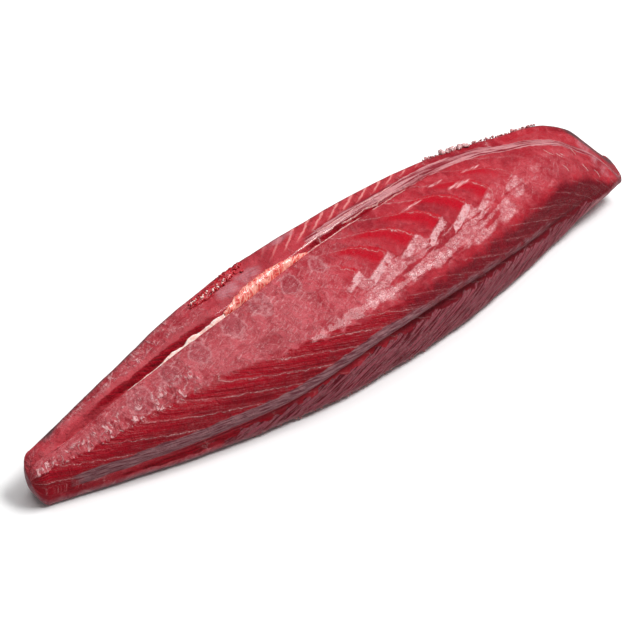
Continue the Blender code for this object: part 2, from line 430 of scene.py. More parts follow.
@dataclass(frozen=True)
class Muscle:
    """How the flakes of muscle lie: their spacing, and the bent path of each wall of tissue between them.

    The path is given at places across the broad face, as a share of the way from the seam to the ridge,
    and says how far towards the head the wall has moved there.
    """

    flake_length: float = 32.0
    path_across: tuple = (
        0.0, 0.10, 0.16, 0.21, 0.27, 0.34, 0.42, 0.50, 0.58, 0.64, 0.70, 0.76, 0.84, 0.96, 1.11, 1.6,
    )
    path_ahead: tuple = (-30, -15, -5, 5, 17, 25, 31, 35, 37, 33, 24, 18, 26, 50, 84, 195)
    path_steps: int = 300
    path_smoothing: int = 19
    usual_width: float = 84.0
    bar_spacing: float = 17.0
    bar_slope: float = -1.66
    bar_bend: float = 0.03
    strip_middle: float = 18.0
    chevron_spacing: float = 21.0
    chevron_width: float = 38.0
    chevron_reach: float = 30.0

    def across_broad_face(self, surface: LoinSurface) -> np.ndarray:
        """0 at the seam and 1 at the ridge, going on past 1 down the front."""
        return -surface.past(Line.SEAM) / surface.broad_width()

    def septum(self, surface: LoinSurface) -> np.ndarray:
        """A count that passes a whole number at each wall across the broad face."""
        fine = np.linspace(self.path_across[0], self.path_across[-1], self.path_steps)
        ahead = np.interp(fine, self.path_across, self.path_ahead)
        window = np.hanning(self.path_smoothing)
        padded = np.pad(ahead, self.path_smoothing // 2, mode="edge")
        ahead = np.convolve(padded, window / window.sum(), mode="valid")
        moved = np.interp(self.across_broad_face(surface), fine, ahead)
        moved = moved * surface.broad_width() / self.usual_width
        return (surface.points[:, :, 0] - moved) / self.flake_length

    def bars(self, surface: LoinSurface) -> np.ndarray:
        """A count that passes a whole number at each bar of the narrow strip."""
        past = surface.past(Line.SEAM)
        lean = self.bar_slope * past + self.bar_bend * (past - self.strip_middle) ** 2
        return (surface.points[:, :, 0] + lean) / self.bar_spacing

    def chevron(self, surface: LoinSurface) -> np.ndarray:
        """A count that passes a whole number at each zigzag wall of the skin side."""
        past = surface.past(Line.CREST)
        zigzag = np.abs((past / self.chevron_width) % 2 - 1) * self.chevron_reach
        return (surface.points[:, :, 0] - zigzag) / self.chevron_spacing


@dataclass(frozen=True)
class Relief:
    """How far the flesh stands out from the plain form or sinks below it, in millimetres."""

    seam_depth: float = 4.2
    seam_lip_width: float = 1.3
    seam_floor_width: float = 3.4
    lip_height: float = 0.7
    strip_crown: float = 2.4
    groove_run: tuple = (0.0, 0.06, 0.64, 0.80)
    strip_run: tuple = (0.0, 0.06, 0.95, 1.0)
    crease_half_width: float = 3.6
    band_above_crease: float = 8.5
    band_height: float = 2.0
    band_half_width: float = 5.5
    band_run: tuple = (0.02, 0.16, 0.78, 0.94)
    lump: tuple = (0.33, 0.045)
    lump_height: float = 2.0
    septum_depth: float = 0.45
    flake_bulge: float = 0.32
    bar_depth: float = 0.9
    wrinkle_height: float = 1.0
    bundle_height: float = 0.8
    groove_height: float = 0.75
    pebble_height: float = 0.28
    sag_height: float = 0.9
    sag_size: float = 46.0
    ripple_height: float = 0.22
    chevron_depth: float = 0.35

    def apply(self, surface: LoinSurface, muscle: Muscle, tone: ToneMap) -> None:
        """Moves every point of the surface along its normal.

        Args:
            surface: the plain form, which is changed.
            muscle: how the flakes lie.
            tone: where each look shows, as several of them have a relief of their own.
        """
        share = surface.share[:, None]
        crest = surface.past(Line.CREST)
        on_top = (surface.past(Line.RIDGE) >= 0) & (crest < 0)
        out = self.seam_and_strip(surface, on_top, share)
        out += self.front(surface, share)
        bulge = self.lump_height * hump(self.lump[0], self.lump[1], share)
        out += on_top * bulge * hump(-7, 7, crest)
        out += self.walls(surface, muscle, tone.looks)
        out += self.unevenness(surface, tone.looks)
        surface.points = surface.points + surface.normals * out[:, :, None]
        step_back = surface.form.strip_shorter_by * (1 - smooth_step(0, surface.form.notch_length, share))
        surface.points[:, :, 0] += step_back * (on_top & (surface.past(Line.SEAM) > 0))

    def seam_and_strip(self, surface: LoinSurface, on_top: np.ndarray, share: np.ndarray) -> np.ndarray:
        """The seam's groove and lip, and the crown of the narrow strip behind it."""
        seam = surface.past(Line.SEAM)
        groove, ends = rise_and_fall(self.groove_run, share), rise_and_fall(self.strip_run, share)
        width = np.where(seam < 0, self.seam_lip_width, self.seam_floor_width)
        out = -1.0 * on_top * groove * self.seam_depth * hump(0, width, seam)
        out += on_top * groove * self.lip_height * hump(-3.2, 2.2, seam)
        strip_width = np.maximum((surface.line_at(Line.CREST) - surface.line_at(Line.SEAM))[:, None], 1)
        out += on_top * ends * self.strip_crown * np.sin(math.pi * np.clip(seam / strip_width, 0, 1))
        return out

    def front(self, surface: LoinSurface, share: np.ndarray) -> np.ndarray:
        """The long crease of the front face and the swollen band above it."""
        crease = surface.past(Line.CREASE)
        on_front = surface.past(Line.RIDGE) < 0
        depth = surface.form.along(surface.form.crease_depth, share)
        band = self.band_height * rise_and_fall(self.band_run, share)
        out = on_front * band * hump(self.band_above_crease, self.band_half_width, crease)
        return out - on_front * depth * hump(0, self.crease_half_width, crease)

    def walls(self, surface: LoinSurface, muscle: Muscle, looks: dict) -> np.ndarray:
        """The flakes and bars, which bulge between the walls of tissue, and the skin side's zigzags."""
        x, around = surface.points[:, :, 0], surface.round_at
        phase = muscle.septum(surface) + 0.05 * Ripple(5).layered(x, around, 9)
        from_wall = np.abs((phase + 0.5) % 1 - 0.5) * muscle.flake_length
        before_seam = 1 - smooth_step(-3, 0, surface.past(Line.SEAM))
        strength = smooth_step(-30, -10, surface.past(Line.RIDGE)) * before_seam * looks["line_strength"]
        out = strength * self.flake_bulge * np.sin(math.pi * (phase % 1))
        out -= strength * self.septum_depth * hump(0, 1.2, from_wall)
        bars = muscle.bars(surface) + 0.07 * Ripple(6).layered(x, around, 7)
        from_bar = np.abs((bars + 0.5) % 1 - 0.5) * muscle.bar_spacing
        out -= looks["bar_strength"] * self.bar_depth * (hump(0, 1.5, from_bar) - 0.35)
        from_zag = np.abs((muscle.chevron(surface) + 0.5) % 1 - 0.5)
        skin = smooth_step(0, 8, surface.past(Line.CREST))
        return out - skin * self.chevron_depth * hump(0, 0.06, from_zag)

    def unevenness(self, surface: LoinSurface, looks: dict) -> np.ndarray:
        """The grooves, bundles, wrinkles and pebbles of each look, and the flesh's slow sag."""
        x, around = surface.points[:, :, 0], surface.round_at
        lean = surface.past(Line.CREASE) - 0.50 * x
        grooves = Ripple(8).layered(x * 0.06, surface.past(Line.SEAM), 2.4, 2)
        bundles = Ripple(9).layered(x * 0.10, lean, 4.2, 3)
        wrinkles = 1 - 2 * np.abs(Ripple(10).layered(x * 1.2 + 0.3 * around, around * 0.6 - 0.2 * x, 6.0, 2))
        wrinkled = np.maximum(looks["wrinkle"], 0.25 * looks["haze"])
        out = looks["mauve"] * self.groove_height * grooves
        out += looks["front_low"] * self.bundle_height * bundles
        out += wrinkled * self.wrinkle_height * wrinkles
        out += looks["frost"] * self.pebble_height * Ripple(11).layered(x, around, 3.4, 2)
        skin = smooth_step(0, 8, surface.past(Line.CREST))
        out += self.sag_height * Ripple(12).layered(x, around, self.sag_size, 2) * (1 - 0.6 * skin)
        return out + self.ripple_height * Ripple(13).layered(x, around, 9, 2)


@dataclass(frozen=True)
class Lie:
    """Where every point of the plain form lies, and two sizes of raggedness that the looks share.

    Distances past the natural lines are in millimetres, and across is 0 at the seam and 1 at the ridge.
    """

    share: np.ndarray
    x: np.ndarray
    around: np.ndarray
    across: np.ndarray
    toe: np.ndarray
    crease: np.ndarray
    ridge: np.ndarray
    seam: np.ndarray
    crest: np.ndarray
    heel: np.ndarray
    ragged: np.ndarray
    fine: np.ndarray

    @classmethod
    def on(cls, surface: LoinSurface, muscle: Muscle) -> Lie:
        """Measures every point of a surface that has no relief yet."""
        x, around = surface.points[:, :, 0], surface.round_at
        return cls(
            share=np.broadcast_to(surface.share[:, None], around.shape),
            x=x,
            around=around,
            across=muscle.across_broad_face(surface),
            ragged=Ripple(21).layered(x, around, 14, 3),
            fine=Ripple(22).layered(x, around, 6, 3),
            **{line.name.lower(): surface.past(line) for line in Line},
        )


@dataclass
class ToneMap:
    """Where each look of the flesh shows, as shares from 0 to 1 for every point of the surface.

    The material reads the looks in sets of three, by the names of the layers and of their parts.
    """

    surface: LoinSurface
    muscle: Muscle
    fascia_shares: tuple = (0.42, 0.50, 0.55, 0.60, 0.65, 0.70, 0.75, 0.80, 0.85, 0.89, 0.92, 0.95, 0.98, 1.0)
    fascia_past_seam: tuple = (10, 8, 8, 7, 6, 5, 3, 0, -8, -13, -19, -25, -24, -22)
    fascia_half: tuple = (2, 3.5, 4.5, 4.5, 4.5, 4.5, 4.5, 5, 5, 5, 5, 4, 3, 2)
    haze_shares: tuple = (0.0, 0.20, 0.24, 0.28, 0.33, 0.38, 0.42, 0.49)
    haze_ends: tuple = (0.72, 0.72, 0.73, 0.77, 0.85, 0.92, 0.97, 1.02)
    lobe_teeth: tuple = ((0.0, 0.12, 0.84, 1.0), (0.61, 0.64, 0.51, 0.60))
    first_island: float = -178.0
    glistens: tuple = (
        (0.728, -24, 13, 2.6), (0.640, -19, 14, 1.3), (0.765, -14, 11, 1.3), (0.70, -12, 9, 0.9),
    )
    looks: dict[str, np.ndarray] = field(init=False)
    layer_names: ClassVar[dict] = {
        "zones": ("strip", "front_low", "skin"),
        "tones": ("deep", "frost", "haze"),
        "veils": ("band", "mauve", "rim"),
        "counts": ("septum", "bars", "chevron"),
        "marks": ("line_strength", "bar_strength", "wrinkle"),
        "reach": ("from_seam", "from_strand", "lobe"),
        "fades": ("haze_fade", "lip_strength", "island"),
        "extra": ("shine", "glisten", "edge_deep"),
        "more": ("under", "strip_pale", "grey"),
    }

    def __post_init__(self) -> None:
        """Paints every look from its place on the plain form."""
        at = Lie.on(self.surface, self.muscle)
        self.looks = {}
        torn, tail_deep = self.torn_edge(at)
        self.paint_zones(at)
        self.paint_lobes(at)
        self.paint_depths(at, tail_deep)
        self.paint_wrinkles(at)
        self.paint_haze(at, torn)
        self.paint_veils(at)
        self.paint_glints(at)
        self.paint_rims(at)
        self.paint_walls(at, tail_deep)

    def torn_edge(self, at: Lie) -> tuple[np.ndarray, np.ndarray]:
        """Finds where the membrane on the broad face is torn off.

        Args:
            at: where every point lies.

        Returns:
            How far each point is past the torn edge, as a share of the face's width, and how deep the
            bare flesh beyond it is near the tail.
        """
        ahead_of_tail = smooth_step(0.46, 0.60, at.share + 0.04 * at.ragged)
        torn = at.across - np.interp(at.share, self.haze_shares, self.haze_ends)
        torn = torn + 0.07 * at.fine + 0.09 * at.ragged
        down_the_end = 0.7 * (1 - smooth_step(0.02, 0.10, at.share))
        tail_deep = smooth_step(-0.05, 0.07, torn) * (1 - ahead_of_tail)
        tail_deep *= 1 - smooth_step(1.25, 1.45, at.across - down_the_end)
        return torn, tail_deep

    def paint_zones(self, at: Lie) -> None:
        """Paints the narrow strip and its paler tail, the flakes low on the front, and the skin side."""
        on_top = smooth_step(-0.6, 0.8, at.seam) * (1 - smooth_step(-1.5, 1.0, at.crest))
        skin = smooth_step(-0.5, 4.0, at.crest + 1.5 * at.fine)
        foot = 1 - smooth_step(2.0, 7.5, at.toe + 2.0 * at.ragged)
        flakes_stop = -4 + 5 * at.fine
        front_low = (1 - smooth_step(flakes_stop - 2, flakes_stop + 2, at.crease)) * (at.ridge < 0)
        self.looks["strip"] = on_top
        self.looks["strip_pale"] = on_top * 0.6 * (1 - smooth_step(0.40, 0.55, at.share))
        self.looks["skin"] = np.maximum(skin, foot * (at.ridge < 0))
        self.looks["front_low"] = front_low * smooth_step(0.16, 0.32, at.share + 0.05 * at.ragged)

    def paint_lobes(self, at: Lie) -> None:
        """Paints the smooth red lobes of the middle, the frost past their edge, which is partly a painted
        sheen, and a painted shine on it.
        """
        share, v = at.share, at.across
        phase = self.muscle.septum(self.surface) + 0.04 * at.fine
        width = self.surface.broad_width()
        leaning = at.x + 0.45 * (v - 0.6) * width - 37 * width / self.muscle.usual_width
        tooth = (leaning / self.muscle.flake_length + 0.12 * at.fine) % 1
        small = Ripple(24).layered(at.x, at.around, 3.5, 2)
        edge = np.interp(tooth, *self.lobe_teeth) + 0.02 * at.fine + 0.006 * small
        lobes = smooth_step(0.10, 0.80, phase % 1) * smooth_step(0.08, 0.28, v)
        lobes *= 1 - smooth_step(edge - 0.03, edge, v)
        lobes *= rise_and_fall((0.45, 0.53, 0.74, 0.84), share)
        self.looks["lobe"] = np.clip(lobes, 0, 1)

        # The frost is pale torn membrane whose paleness is partly a painted sheen.
        patch = smooth_step(edge - 0.015, edge + 0.02, v) * (1 - smooth_step(0.90, 1.0, v + 0.05 * at.ragged))
        patch *= 1 - 0.8 * hump(0.70 + 0.015 * at.ragged, 0.014, v) * smooth_step(0.5, 0.6, share)
        patch *= rise_and_fall((0.46, 0.50, 0.78, 0.90), share + 0.02 * at.ragged)
        patch *= 1 - 0.8 * smooth_step(0.70, 0.78, share) * smooth_step(-0.15, 0.20, at.ragged)
        cracks = Ripple(23).layered(at.x * 0.10, at.around - 0.12 * at.x, 4.5, 3)
        whole = 1 - 0.9 * smooth_step(0.20, 0.36, cracks)
        self.looks["frost"] = np.clip(patch * (0.95 + 0.4 * at.fine) * whole, 0, 1)

        # The shine is a painted highlight just past each lobe's edge.
        near = rise_and_fall((0.04, 0.20, 0.80, 0.92), tooth)
        near = near * rise_and_fall((edge, edge + 0.02, edge + 0.09, edge + 0.13), v)
        uneven = np.clip(0.80 + 0.6 * at.fine + 0.9 * small, 0, 1)
        self.looks["shine"] = near * rise_and_fall((0.44, 0.50, 0.70, 0.80), share) * uneven

    def paint_depths(self, at: Lie, tail_deep: np.ndarray) -> None:
        """Paints clean-cut flesh in deep red, with painted shade on the front below the ridge, beside the
        band and along the crease.
        """
        share, seam, ridge, crease = at.share, at.seam, at.ridge, at.crease
        # Painted shade: the front just below the ridge is laid in deep red.
        shade_below_ridge = smooth_step(0, 10, -ridge + 3 * at.fine) * smooth_step(-2, 3, crease)
        shade_below_ridge *= smooth_step(0.42, 0.55, share)
        self.looks["deep"] = np.clip(tail_deep + 0.5 * shade_below_ridge, 0, 1)

        strip_deep = self.looks["strip"] * hump(4.0, 2.8, seam + 1.5 * at.fine)
        strip_deep = strip_deep * rise_and_fall((0.05, 0.15, 0.24, 0.34), share)
        slits = hump(3.6, 1.8, seam + 1.2 * at.fine) * rise_and_fall((0.46, 0.50, 0.60, 0.68), share)
        foot_deep = (ridge < 0) * (1 - smooth_step(-4, 0, crease)) * (1 - smooth_step(0.26, 0.40, share))
        foot_deep = foot_deep * smooth_step(5, 10, at.toe + 3 * at.ragged)
        self.looks["edge_deep"] = np.clip(strip_deep + slits * (seam > 0) + 0.8 * foot_deep, 0, 1)

        # Painted shade on the front below the ridge, beside the band and in the crease.
        under = (1 - smooth_step(-12, 7, ridge + 5 * at.ragged)) * smooth_step(0.44, 0.58, share)
        under = under * (0.75 + 0.25 * smooth_step(0.74, 0.90, share))
        shade_by_band = 0.32 * rise_and_fall((0.90, 1.16, 1.30, 1.5), at.across + 0.05 * at.ragged)
        shade_by_band = shade_by_band * rise_and_fall((0.03, 0.12, 0.48, 0.60), share)
        crease_shade = 0.75 * hump(0.5, 1.6, crease) * rise_and_fall((0.12, 0.2, 0.8, 0.9), share)
        self.looks["under"] = np.maximum(np.maximum(under, shade_by_band), crease_shade * (ridge < 0))

    def paint_wrinkles(self, at: Lie) -> None:
        """Paints the wrinkled membrane near the tail, on the broad face and on the strip."""
        wrinkle = rise_and_fall((0.20, 0.42, 0.70, 0.82), at.across + 0.08 * at.ragged)
        wrinkle *= 1 - smooth_step(0.18, 0.28, at.share)
        on_strip = 0.55 * self.looks["strip"] * smooth_step(8, 12, at.seam)
        on_strip = on_strip * rise_and_fall((0.02, 0.06, 0.22, 0.30), at.share)
        self.looks["wrinkle"] = np.maximum(wrinkle, on_strip)

    def paint_haze(self, at: Lie, torn: np.ndarray) -> None:
        """Paints the thin membrane, how it fades towards the head, and the darker islands in it."""
        share, seam, ragged, fine = at.share, at.seam, at.ragged, at.fine
        haze = 1 - smooth_step(-0.06, 0.07, torn)
        haze = np.clip(haze * (0.8 + 0.5 * ragged), 0, 1) * (seam < 0)
        on_strip = self.looks["strip"] * smooth_step(8, 13, seam + 3 * fine)
        on_strip = on_strip * (1 - smooth_step(0.26, 0.34, share))
        on_foot = 0.6 * (at.ridge < 0) * (1 - smooth_step(-5, -2, at.crease))
        on_foot = on_foot * rise_and_fall((0.05, 0.12, 0.18, 0.34), share)
        self.looks["haze"] = np.maximum(haze, np.maximum(on_strip * (0.8 + 0.4 * fine), on_foot))

        fade = 1 - 0.88 * smooth_step(0.43, 0.58, share + 0.04 * ragged)
        returns = rise_and_fall((0.72, 0.80, 0.90, 0.96), share + 0.03 * ragged)
        across = rise_and_fall((0.40, 0.55, 0.82, 0.98), at.across + 0.06 * fine)
        self.looks["haze_fade"] = fade + returns * (0.10 + 0.45 * across)

        slow = Ripple(25).layered(at.x, at.around, 24, 3)
        beside = ((at.x - self.first_island + 5 * slow) / self.muscle.flake_length + 0.5) % 1 - 0.5
        away = np.hypot(beside * self.muscle.flake_length, 0.85 * (seam + 14.5 + 4 * ragged))
        island = 1 - smooth_step(6.0, 15.0, away + 3 * slow + 2.0 * fine)
        island = island * np.clip(0.85 + 0.8 * ragged, 0, 1)
        self.looks["island"] = island * rise_and_fall((0.10, 0.15, 0.44, 0.50), share)

    def paint_veils(self, at: Lie) -> None:
        """Paints the grey band over the crease, which is partly fascia and partly a painted sheen on its
        ledge, then the strand of mauve fascia and the grey patches.
        """
        share, seam, ragged, fine = at.share, at.seam, at.ragged, at.fine
        ahead = smooth_step(0.45, 0.60, share)
        band_run = rise_and_fall((0.0, 0.06, 0.80, 0.90), share) * (1 - 0.50 * ahead)
        band_edges = (2.0 - 5 * ahead, 5.0 - 4 * ahead, 13.0 - 3 * ahead, 16.5 - ahead)
        before_heel = 1 - smooth_step(-12, 4, at.heel)
        self.looks["band"] = rise_and_fall(band_edges, at.crease + 1.2 * ragged) * band_run * before_heel

        from_strand = seam - np.interp(share, self.fascia_shares, self.fascia_past_seam)
        strand_half = np.interp(share, self.fascia_shares, self.fascia_half)
        apart = np.abs(from_strand + 1.0 * fine) / strand_half
        mauve = (1 - smooth_step(0.60, 1.25, apart)) * smooth_step(0.44, 0.52, share)
        self.looks["from_strand"] = from_strand
        self.looks["mauve"] = np.clip(mauve * (at.crest < 0), 0, 1)

        grey_patch = rise_and_fall((0.31, 0.335, 0.38, 0.42), share) * hump(17, 7, seam + 2 * fine)
        grey_patch = np.maximum(grey_patch, hump(0.455, 0.025, share) * hump(-5, 5, at.crest))
        head_veil = 0.5 * (at.ridge > 2) * rise_and_fall((0.955, 0.975, 0.984, 0.992), share + 0.008 * ragged)
        grey = np.maximum(self.looks["strip"] * grey_patch, head_veil)
        self.looks["grey"] = np.clip(0.9 * grey * (1 + 0.5 * fine), 0, 1)

    def paint_glints(self, at: Lie) -> None:
        """Paints the few wet glints beside the seam."""
        glisten = np.zeros(at.share.shape)
        for share, past, long, wide in self.glistens:
            spot = hump(0, 1, (at.share - share) * self.surface.form.length / long)
            spot = spot * hump(past, wide, at.seam + 0.8 * at.fine)
            glisten = np.maximum(glisten, smooth_step(0.3, 0.6, spot))
        self.looks["glisten"] = glisten

    def paint_rims(self, at: Lie) -> None:
        """Paints the dark rims along the crest, at the tail and at the head end."""
        turned = smooth_step(0.955, 0.985, at.share)
        crest_rim = hump(-1.0 - 6.0 * turned, 3.2 + 3.0 * turned, at.crest)
        crest_rim = crest_rim * smooth_step(0.88, 0.93, at.share)
        tail_rim = hump(-0.5, 2.4, at.crest) * rise_and_fall((0.0, 0.03, 0.18, 0.30), at.share)
        end_rim = (at.crest < 0) * (at.ridge > -20) * smooth_step(0.989, 0.994, at.share + 0.001 * at.fine)
        rim = np.maximum(np.maximum(crest_rim, tail_rim), 0.45 * end_rim)
        self.looks["rim"] = np.clip(rim, 0, 1)

    def paint_walls(self, at: Lie, tail_deep: np.ndarray) -> None:
        """Sets how strongly the walls of tissue show: flake walls, the strip's bars and the seam's lip."""
        share, ragged, v = at.share, at.ragged, at.across
        lip = rise_and_fall((0.02, 0.16, 0.52, 0.64), share) * np.clip(0.7 + 0.9 * ragged, 0, 1)
        self.looks["lip_strength"] = lip
        bars_run = rise_and_fall((0.40, 0.47, 0.66, 0.74), share)
        bars = self.looks["strip"] * smooth_step(11, 16, at.seam) * bars_run
        self.looks["bar_strength"] = bars * (1 - smooth_step(-3, -1, at.crest))
        arcs = rise_and_fall((0.42, 0.50, 0.80, 0.86), share) * (1 - smooth_step(0.55, 0.8, v))
        lines = 0.04 + 0.66 * tail_deep + 0.55 * arcs + 0.25 * (at.ridge < 0)
        by_ridge = 0.30 * rise_and_fall((0.5, 0.7, 0.95, 1.05), v)
        lines = lines + by_ridge * rise_and_fall((0.24, 0.34, 0.48, 0.54), share)
        lines = lines * (1 - 0.9 * self.looks["frost"]) * (1 - 0.7 * self.looks["wrinkle"])
        self.looks["line_strength"] = np.clip(lines * (0.75 + 0.5 * ragged), 0, 1)

    def layers(self) -> dict[str, np.ndarray]:
        """The looks in sets of three, with the counts and distances of the finished surface."""
        looks = self.looks | {
            "septum": self.muscle.septum(self.surface),
            "bars": self.muscle.bars(self.surface),
            "chevron": self.muscle.chevron(self.surface),
            "from_seam": self.surface.past(Line.SEAM),
        }
        return {
            layer: np.stack([looks[name] for name in names], 2) for layer, names in self.layer_names.items()
        }


@dataclass(frozen=True)
class Grain:
    """One pattern of noise: its size in millimetres along and across a map, and its lean in radians."""

    name: str
    on: str
    size: tuple[float, float]
    lean: float = 0.0
    detail: float = 3.0
    bend: float = 0.0
    roughness: float = 0.6

    def node(self, add: functools.partial, maps: dict) -> bpy.types.NodeSocket:
        """Adds the pattern's nodes and gives its value."""
        along, across = (size * MM for size in self.size)
        sizes = {0: maps[self.on], 2: (0.0, 0.0, self.lean), 3: (along, across, across)}
        mapped = add("Mapping", sizes, vector_type="TEXTURE")
        look = {"Vector": mapped, "Scale": 1.0, "Detail": self.detail, "Distortion": self.bend}
        return add("TexNoise", look | {"Roughness": self.roughness})


@dataclass(frozen=True)
class FleshFinish:
    """Raw tuna muscle, sliced and trimmed: a deep translucent red below a thin film of moisture.

    The film gives small sharp glints, and torn membrane lies on it as a pale pebbled frost that is partly a
    painted sheen; painted highlights and painted shade are laid into its colour as well.
    """

    name: str = "raw_tuna_muscle"
    dark: str = "#84101f"
    middle: str = "#a8222e"
    light: str = "#c14a53"
    deep_dark: str = "#6a020e"
    deep: str = "#9c041b"
    lobe: str = "#b0081f"
    haze_dark: str = "#a42c37"
    haze: str = "#bd4d56"
    island: str = "#98303c"
    # Painted shade for the front below the ridge, beside the band and in the crease.
    under: str = "#6c0f1c"
    # The frost's pale tones are partly pale membrane and partly a painted sheen; glint and shine are painted
    # highlights.
    frost_dark: str = "#bb5860"
    frost: str = "#dba0a3"
    glint: str = "#eaaeb0"
    shine: str = "#dba6a9"
    wall: str = "#f0bfbf"
    bar: str = "#d68381"
    front_dark: str = "#600f1c"
    front_light: str = "#984854"
    # The band's grey is partly grey fascia and partly a painted sheen on the ledge above the crease.
    band_dark: str = "#66303a"
    band: str = "#966a6e"
    strip: str = "#b2333c"
    mauve_dark: str = "#86222e"
    mauve: str = "#c5868a"
    skin: str = "#8c3f4a"
    silver: str = "#b08a8c"
    grey: str = "#b9747c"
    rim: str = "#5e4245"
    roughness: float = 0.30
    deep_roughness: float = 0.45
    ior: float = 1.36
    specular: float = 0.10
    translucence: float = 0.08
    light_reach: tuple = (1.0, 0.22, 0.14)
    light_depth: float = 2.0
    film: float = 0.20
    film_roughness: float = 0.12
    ring_strength: float = 0.42
    island_strength: float = 0.75
    relief_strength: float = 0.9
    relief_height: float = 0.9
    flake_length: float = Muscle.flake_length
    # The fibre, the bundles and the strands are drawn coarser than real ones, so that they show.
    grains: tuple = (
        Grain("broad", "place", (36, 36), bend=0.3),
        Grain("mottle", "place", (8, 8), detail=5.0, bend=0.4),
        Grain("crinkle", "place", (3.4, 3.4), detail=4.0, bend=0.6),
        Grain("grit", "place", (1.05, 1.05)),
        Grain("wisp", "place", (11, 11), detail=6.0, bend=1.2),
        Grain("web", "place", (5, 5), detail=5.0, bend=1.8),
        Grain("fibre", "flow", (14, 0.9)),
        Grain("stroke", "flow", (9, 1.8), lean=0.52, detail=4.0, bend=0.8),
        Grain("fold", "flow", (4.2, 9.0), lean=-0.30, detail=4.0, bend=1.3),
        Grain("bundle", "flow", (24, 1.3), lean=0.45, detail=4.0, bend=0.3),
        Grain("streak", "walls", (90, 3.5), detail=4.0),
        Grain("strand", "strands", (60, 2.4), detail=4.0),
    )

    def patterns(self, add: functools.partial, read: dict) -> dict[str, bpy.types.NodeSocket]:
        """Adds every pattern of noise, and the curves and thin lines drawn from them.

        Args:
            add: adds a node to the material's tree.
            read: the flesh's own attributes.

        Returns:
            The patterns by name.
        """
        flow = add("UVMap", uv_map="flow")
        ahead = add("SeparateXYZ", {0: flow})
        maps = {"place": add("TexCoord", out=3), "flow": flow}
        for name, count, size in (
            ("walls", read["septum"], self.flake_length), ("strands", read["from_strand"], 1.0),
        ):
            across = add("Math", {0: count, 1: size * MM}, operation="MULTIPLY")
            maps[name] = add("CombineXYZ", {0: ahead, 1: across})
        grain = {each.name: each.node(add, maps) for each in self.grains}
        found = {name: grain[name] for name in ("crinkle", "grit", "fibre", "mottle")}
        # Some of these marks are painted light: where the crinkle and grit relief sink, their dark marks are
        # painted shade, and on its peaks the sparks and light grain are painted highlights; the wrinkles'
        # dark troughs are painted shade, their pale creases painted highlights, and the glossy patches a
        # broad painted sheen.
        for name, source, low, high, start, end in (
            ("body", "broad", 0.30, 0.60, 0.3, 1.0), ("fleck", "mottle", 0.46, 0.68, 0.0, 0.7),
            ("pit", "crinkle", 0.44, 0.32, 0.0, 0.35), ("spark", "crinkle", 0.60, 0.70, 0.0, 0.32),
            ("dust", "grit", 0.56, 0.72, 0.0, 0.20), ("speck", "grit", 0.45, 0.32, 0.0, 0.28),
            ("streak", "streak", 0.24, 0.56, 0.0, 1.0), ("thread", "strand", 0.42, 0.58, 0.0, 1.0),
            ("bundled", "bundle", 0.44, 0.58, 0.0, 1.0), ("thin", "fibre", 0.38, 0.62, 0.0, 1.0),
            ("trough", "fold", 0.45, 0.35, 0.0, 0.8), ("brush", "stroke", 0.56, 0.68, 0.0, 0.4),
            ("smear", "stroke", 0.44, 0.33, 0.0, 0.3), ("faint", "mottle", 0.36, 0.60, 0.35, 1.0),
            ("cloud", "wisp", 0.32, 0.66, 0.0, 1.0), ("streaky", "fibre", 0.34, 0.60, 0.35, 1.0),
            ("shaded", "broad", 0.56, 0.36, 0.0, 0.42), ("glossy", "broad", 0.52, 0.68, 0.0, 0.35),
            ("crease", "fold", 0.505, 0.61, 0.0, 1.0), ("speckle", "crinkle", 0.38, 0.56, 0.35, 1.0),
            ("peppered", "grit", 0.40, 0.58, 0.45, 1.0), ("broken", "grit", 0.36, 0.56, 0.05, 1.0),
        ):
            limits = {0: grain[source], 1: low, 2: high, 3: start, 4: end}
            found[name] = add("MapRange", limits, interpolation_type="SMOOTHSTEP")
        # Wisps, webs, hairs and veins are thin lines where a pattern passes its middle value.
        for name, source, half_width, strength in (
            ("wisp", "wisp", 0.020, 0.22), ("web", "web", 0.020, 0.14),
            ("hair", "bundle", 0.026, 0.8), ("vein", "streak", 0.016, 0.25),
        ):
            line = add("Math", {0: grain[source], 1: 0.5}, operation="SUBTRACT")
            line = add("Math", {0: line}, operation="ABSOLUTE")
            line = add("MapRange", {0: line, 1: 0.0, 2: half_width, 3: strength, 4: 0.0})
            found[name] = add("Math", {0: line, 1: found["broken"]}, operation="MULTIPLY")
        # Plates of torn membrane, 13 mm by 5 mm, each a little lighter or darker than the next.
        sizes = {0: flow, 2: (0.0, 0.0, 0.08), 3: (13 * MM, 5 * MM, 1.0)}
        plates = add("Mapping", sizes, vector_type="TEXTURE")
        warp = add("MapRange", {0: grain["crinkle"], 1: 0.0, 2: 1.0, 3: -0.5, 4: 0.5})
        plates = add("VectorMath", {0: plates, 1: warp}, operation="ADD")
        shade = add("TexVoronoi", {"Vector": plates, "Scale": 1.0}, out=1)
        found["plate"] = add("SeparateXYZ", {0: shade})
        gap = add("TexVoronoi", {"Vector": plates, "Scale": 1.0}, feature="DISTANCE_TO_EDGE")
        found["joined"] = add("MapRange", {0: gap, 1: 0.0, 2: 0.10, 3: 0.55, 4: 1.0})
        # Moisture stands on the frost in pebbles of 1.5 mm.
        found["pebble"] = add("TexVoronoi", {"Vector": maps["place"], "Scale": 700.0}, feature="SMOOTH_F1")
        return found

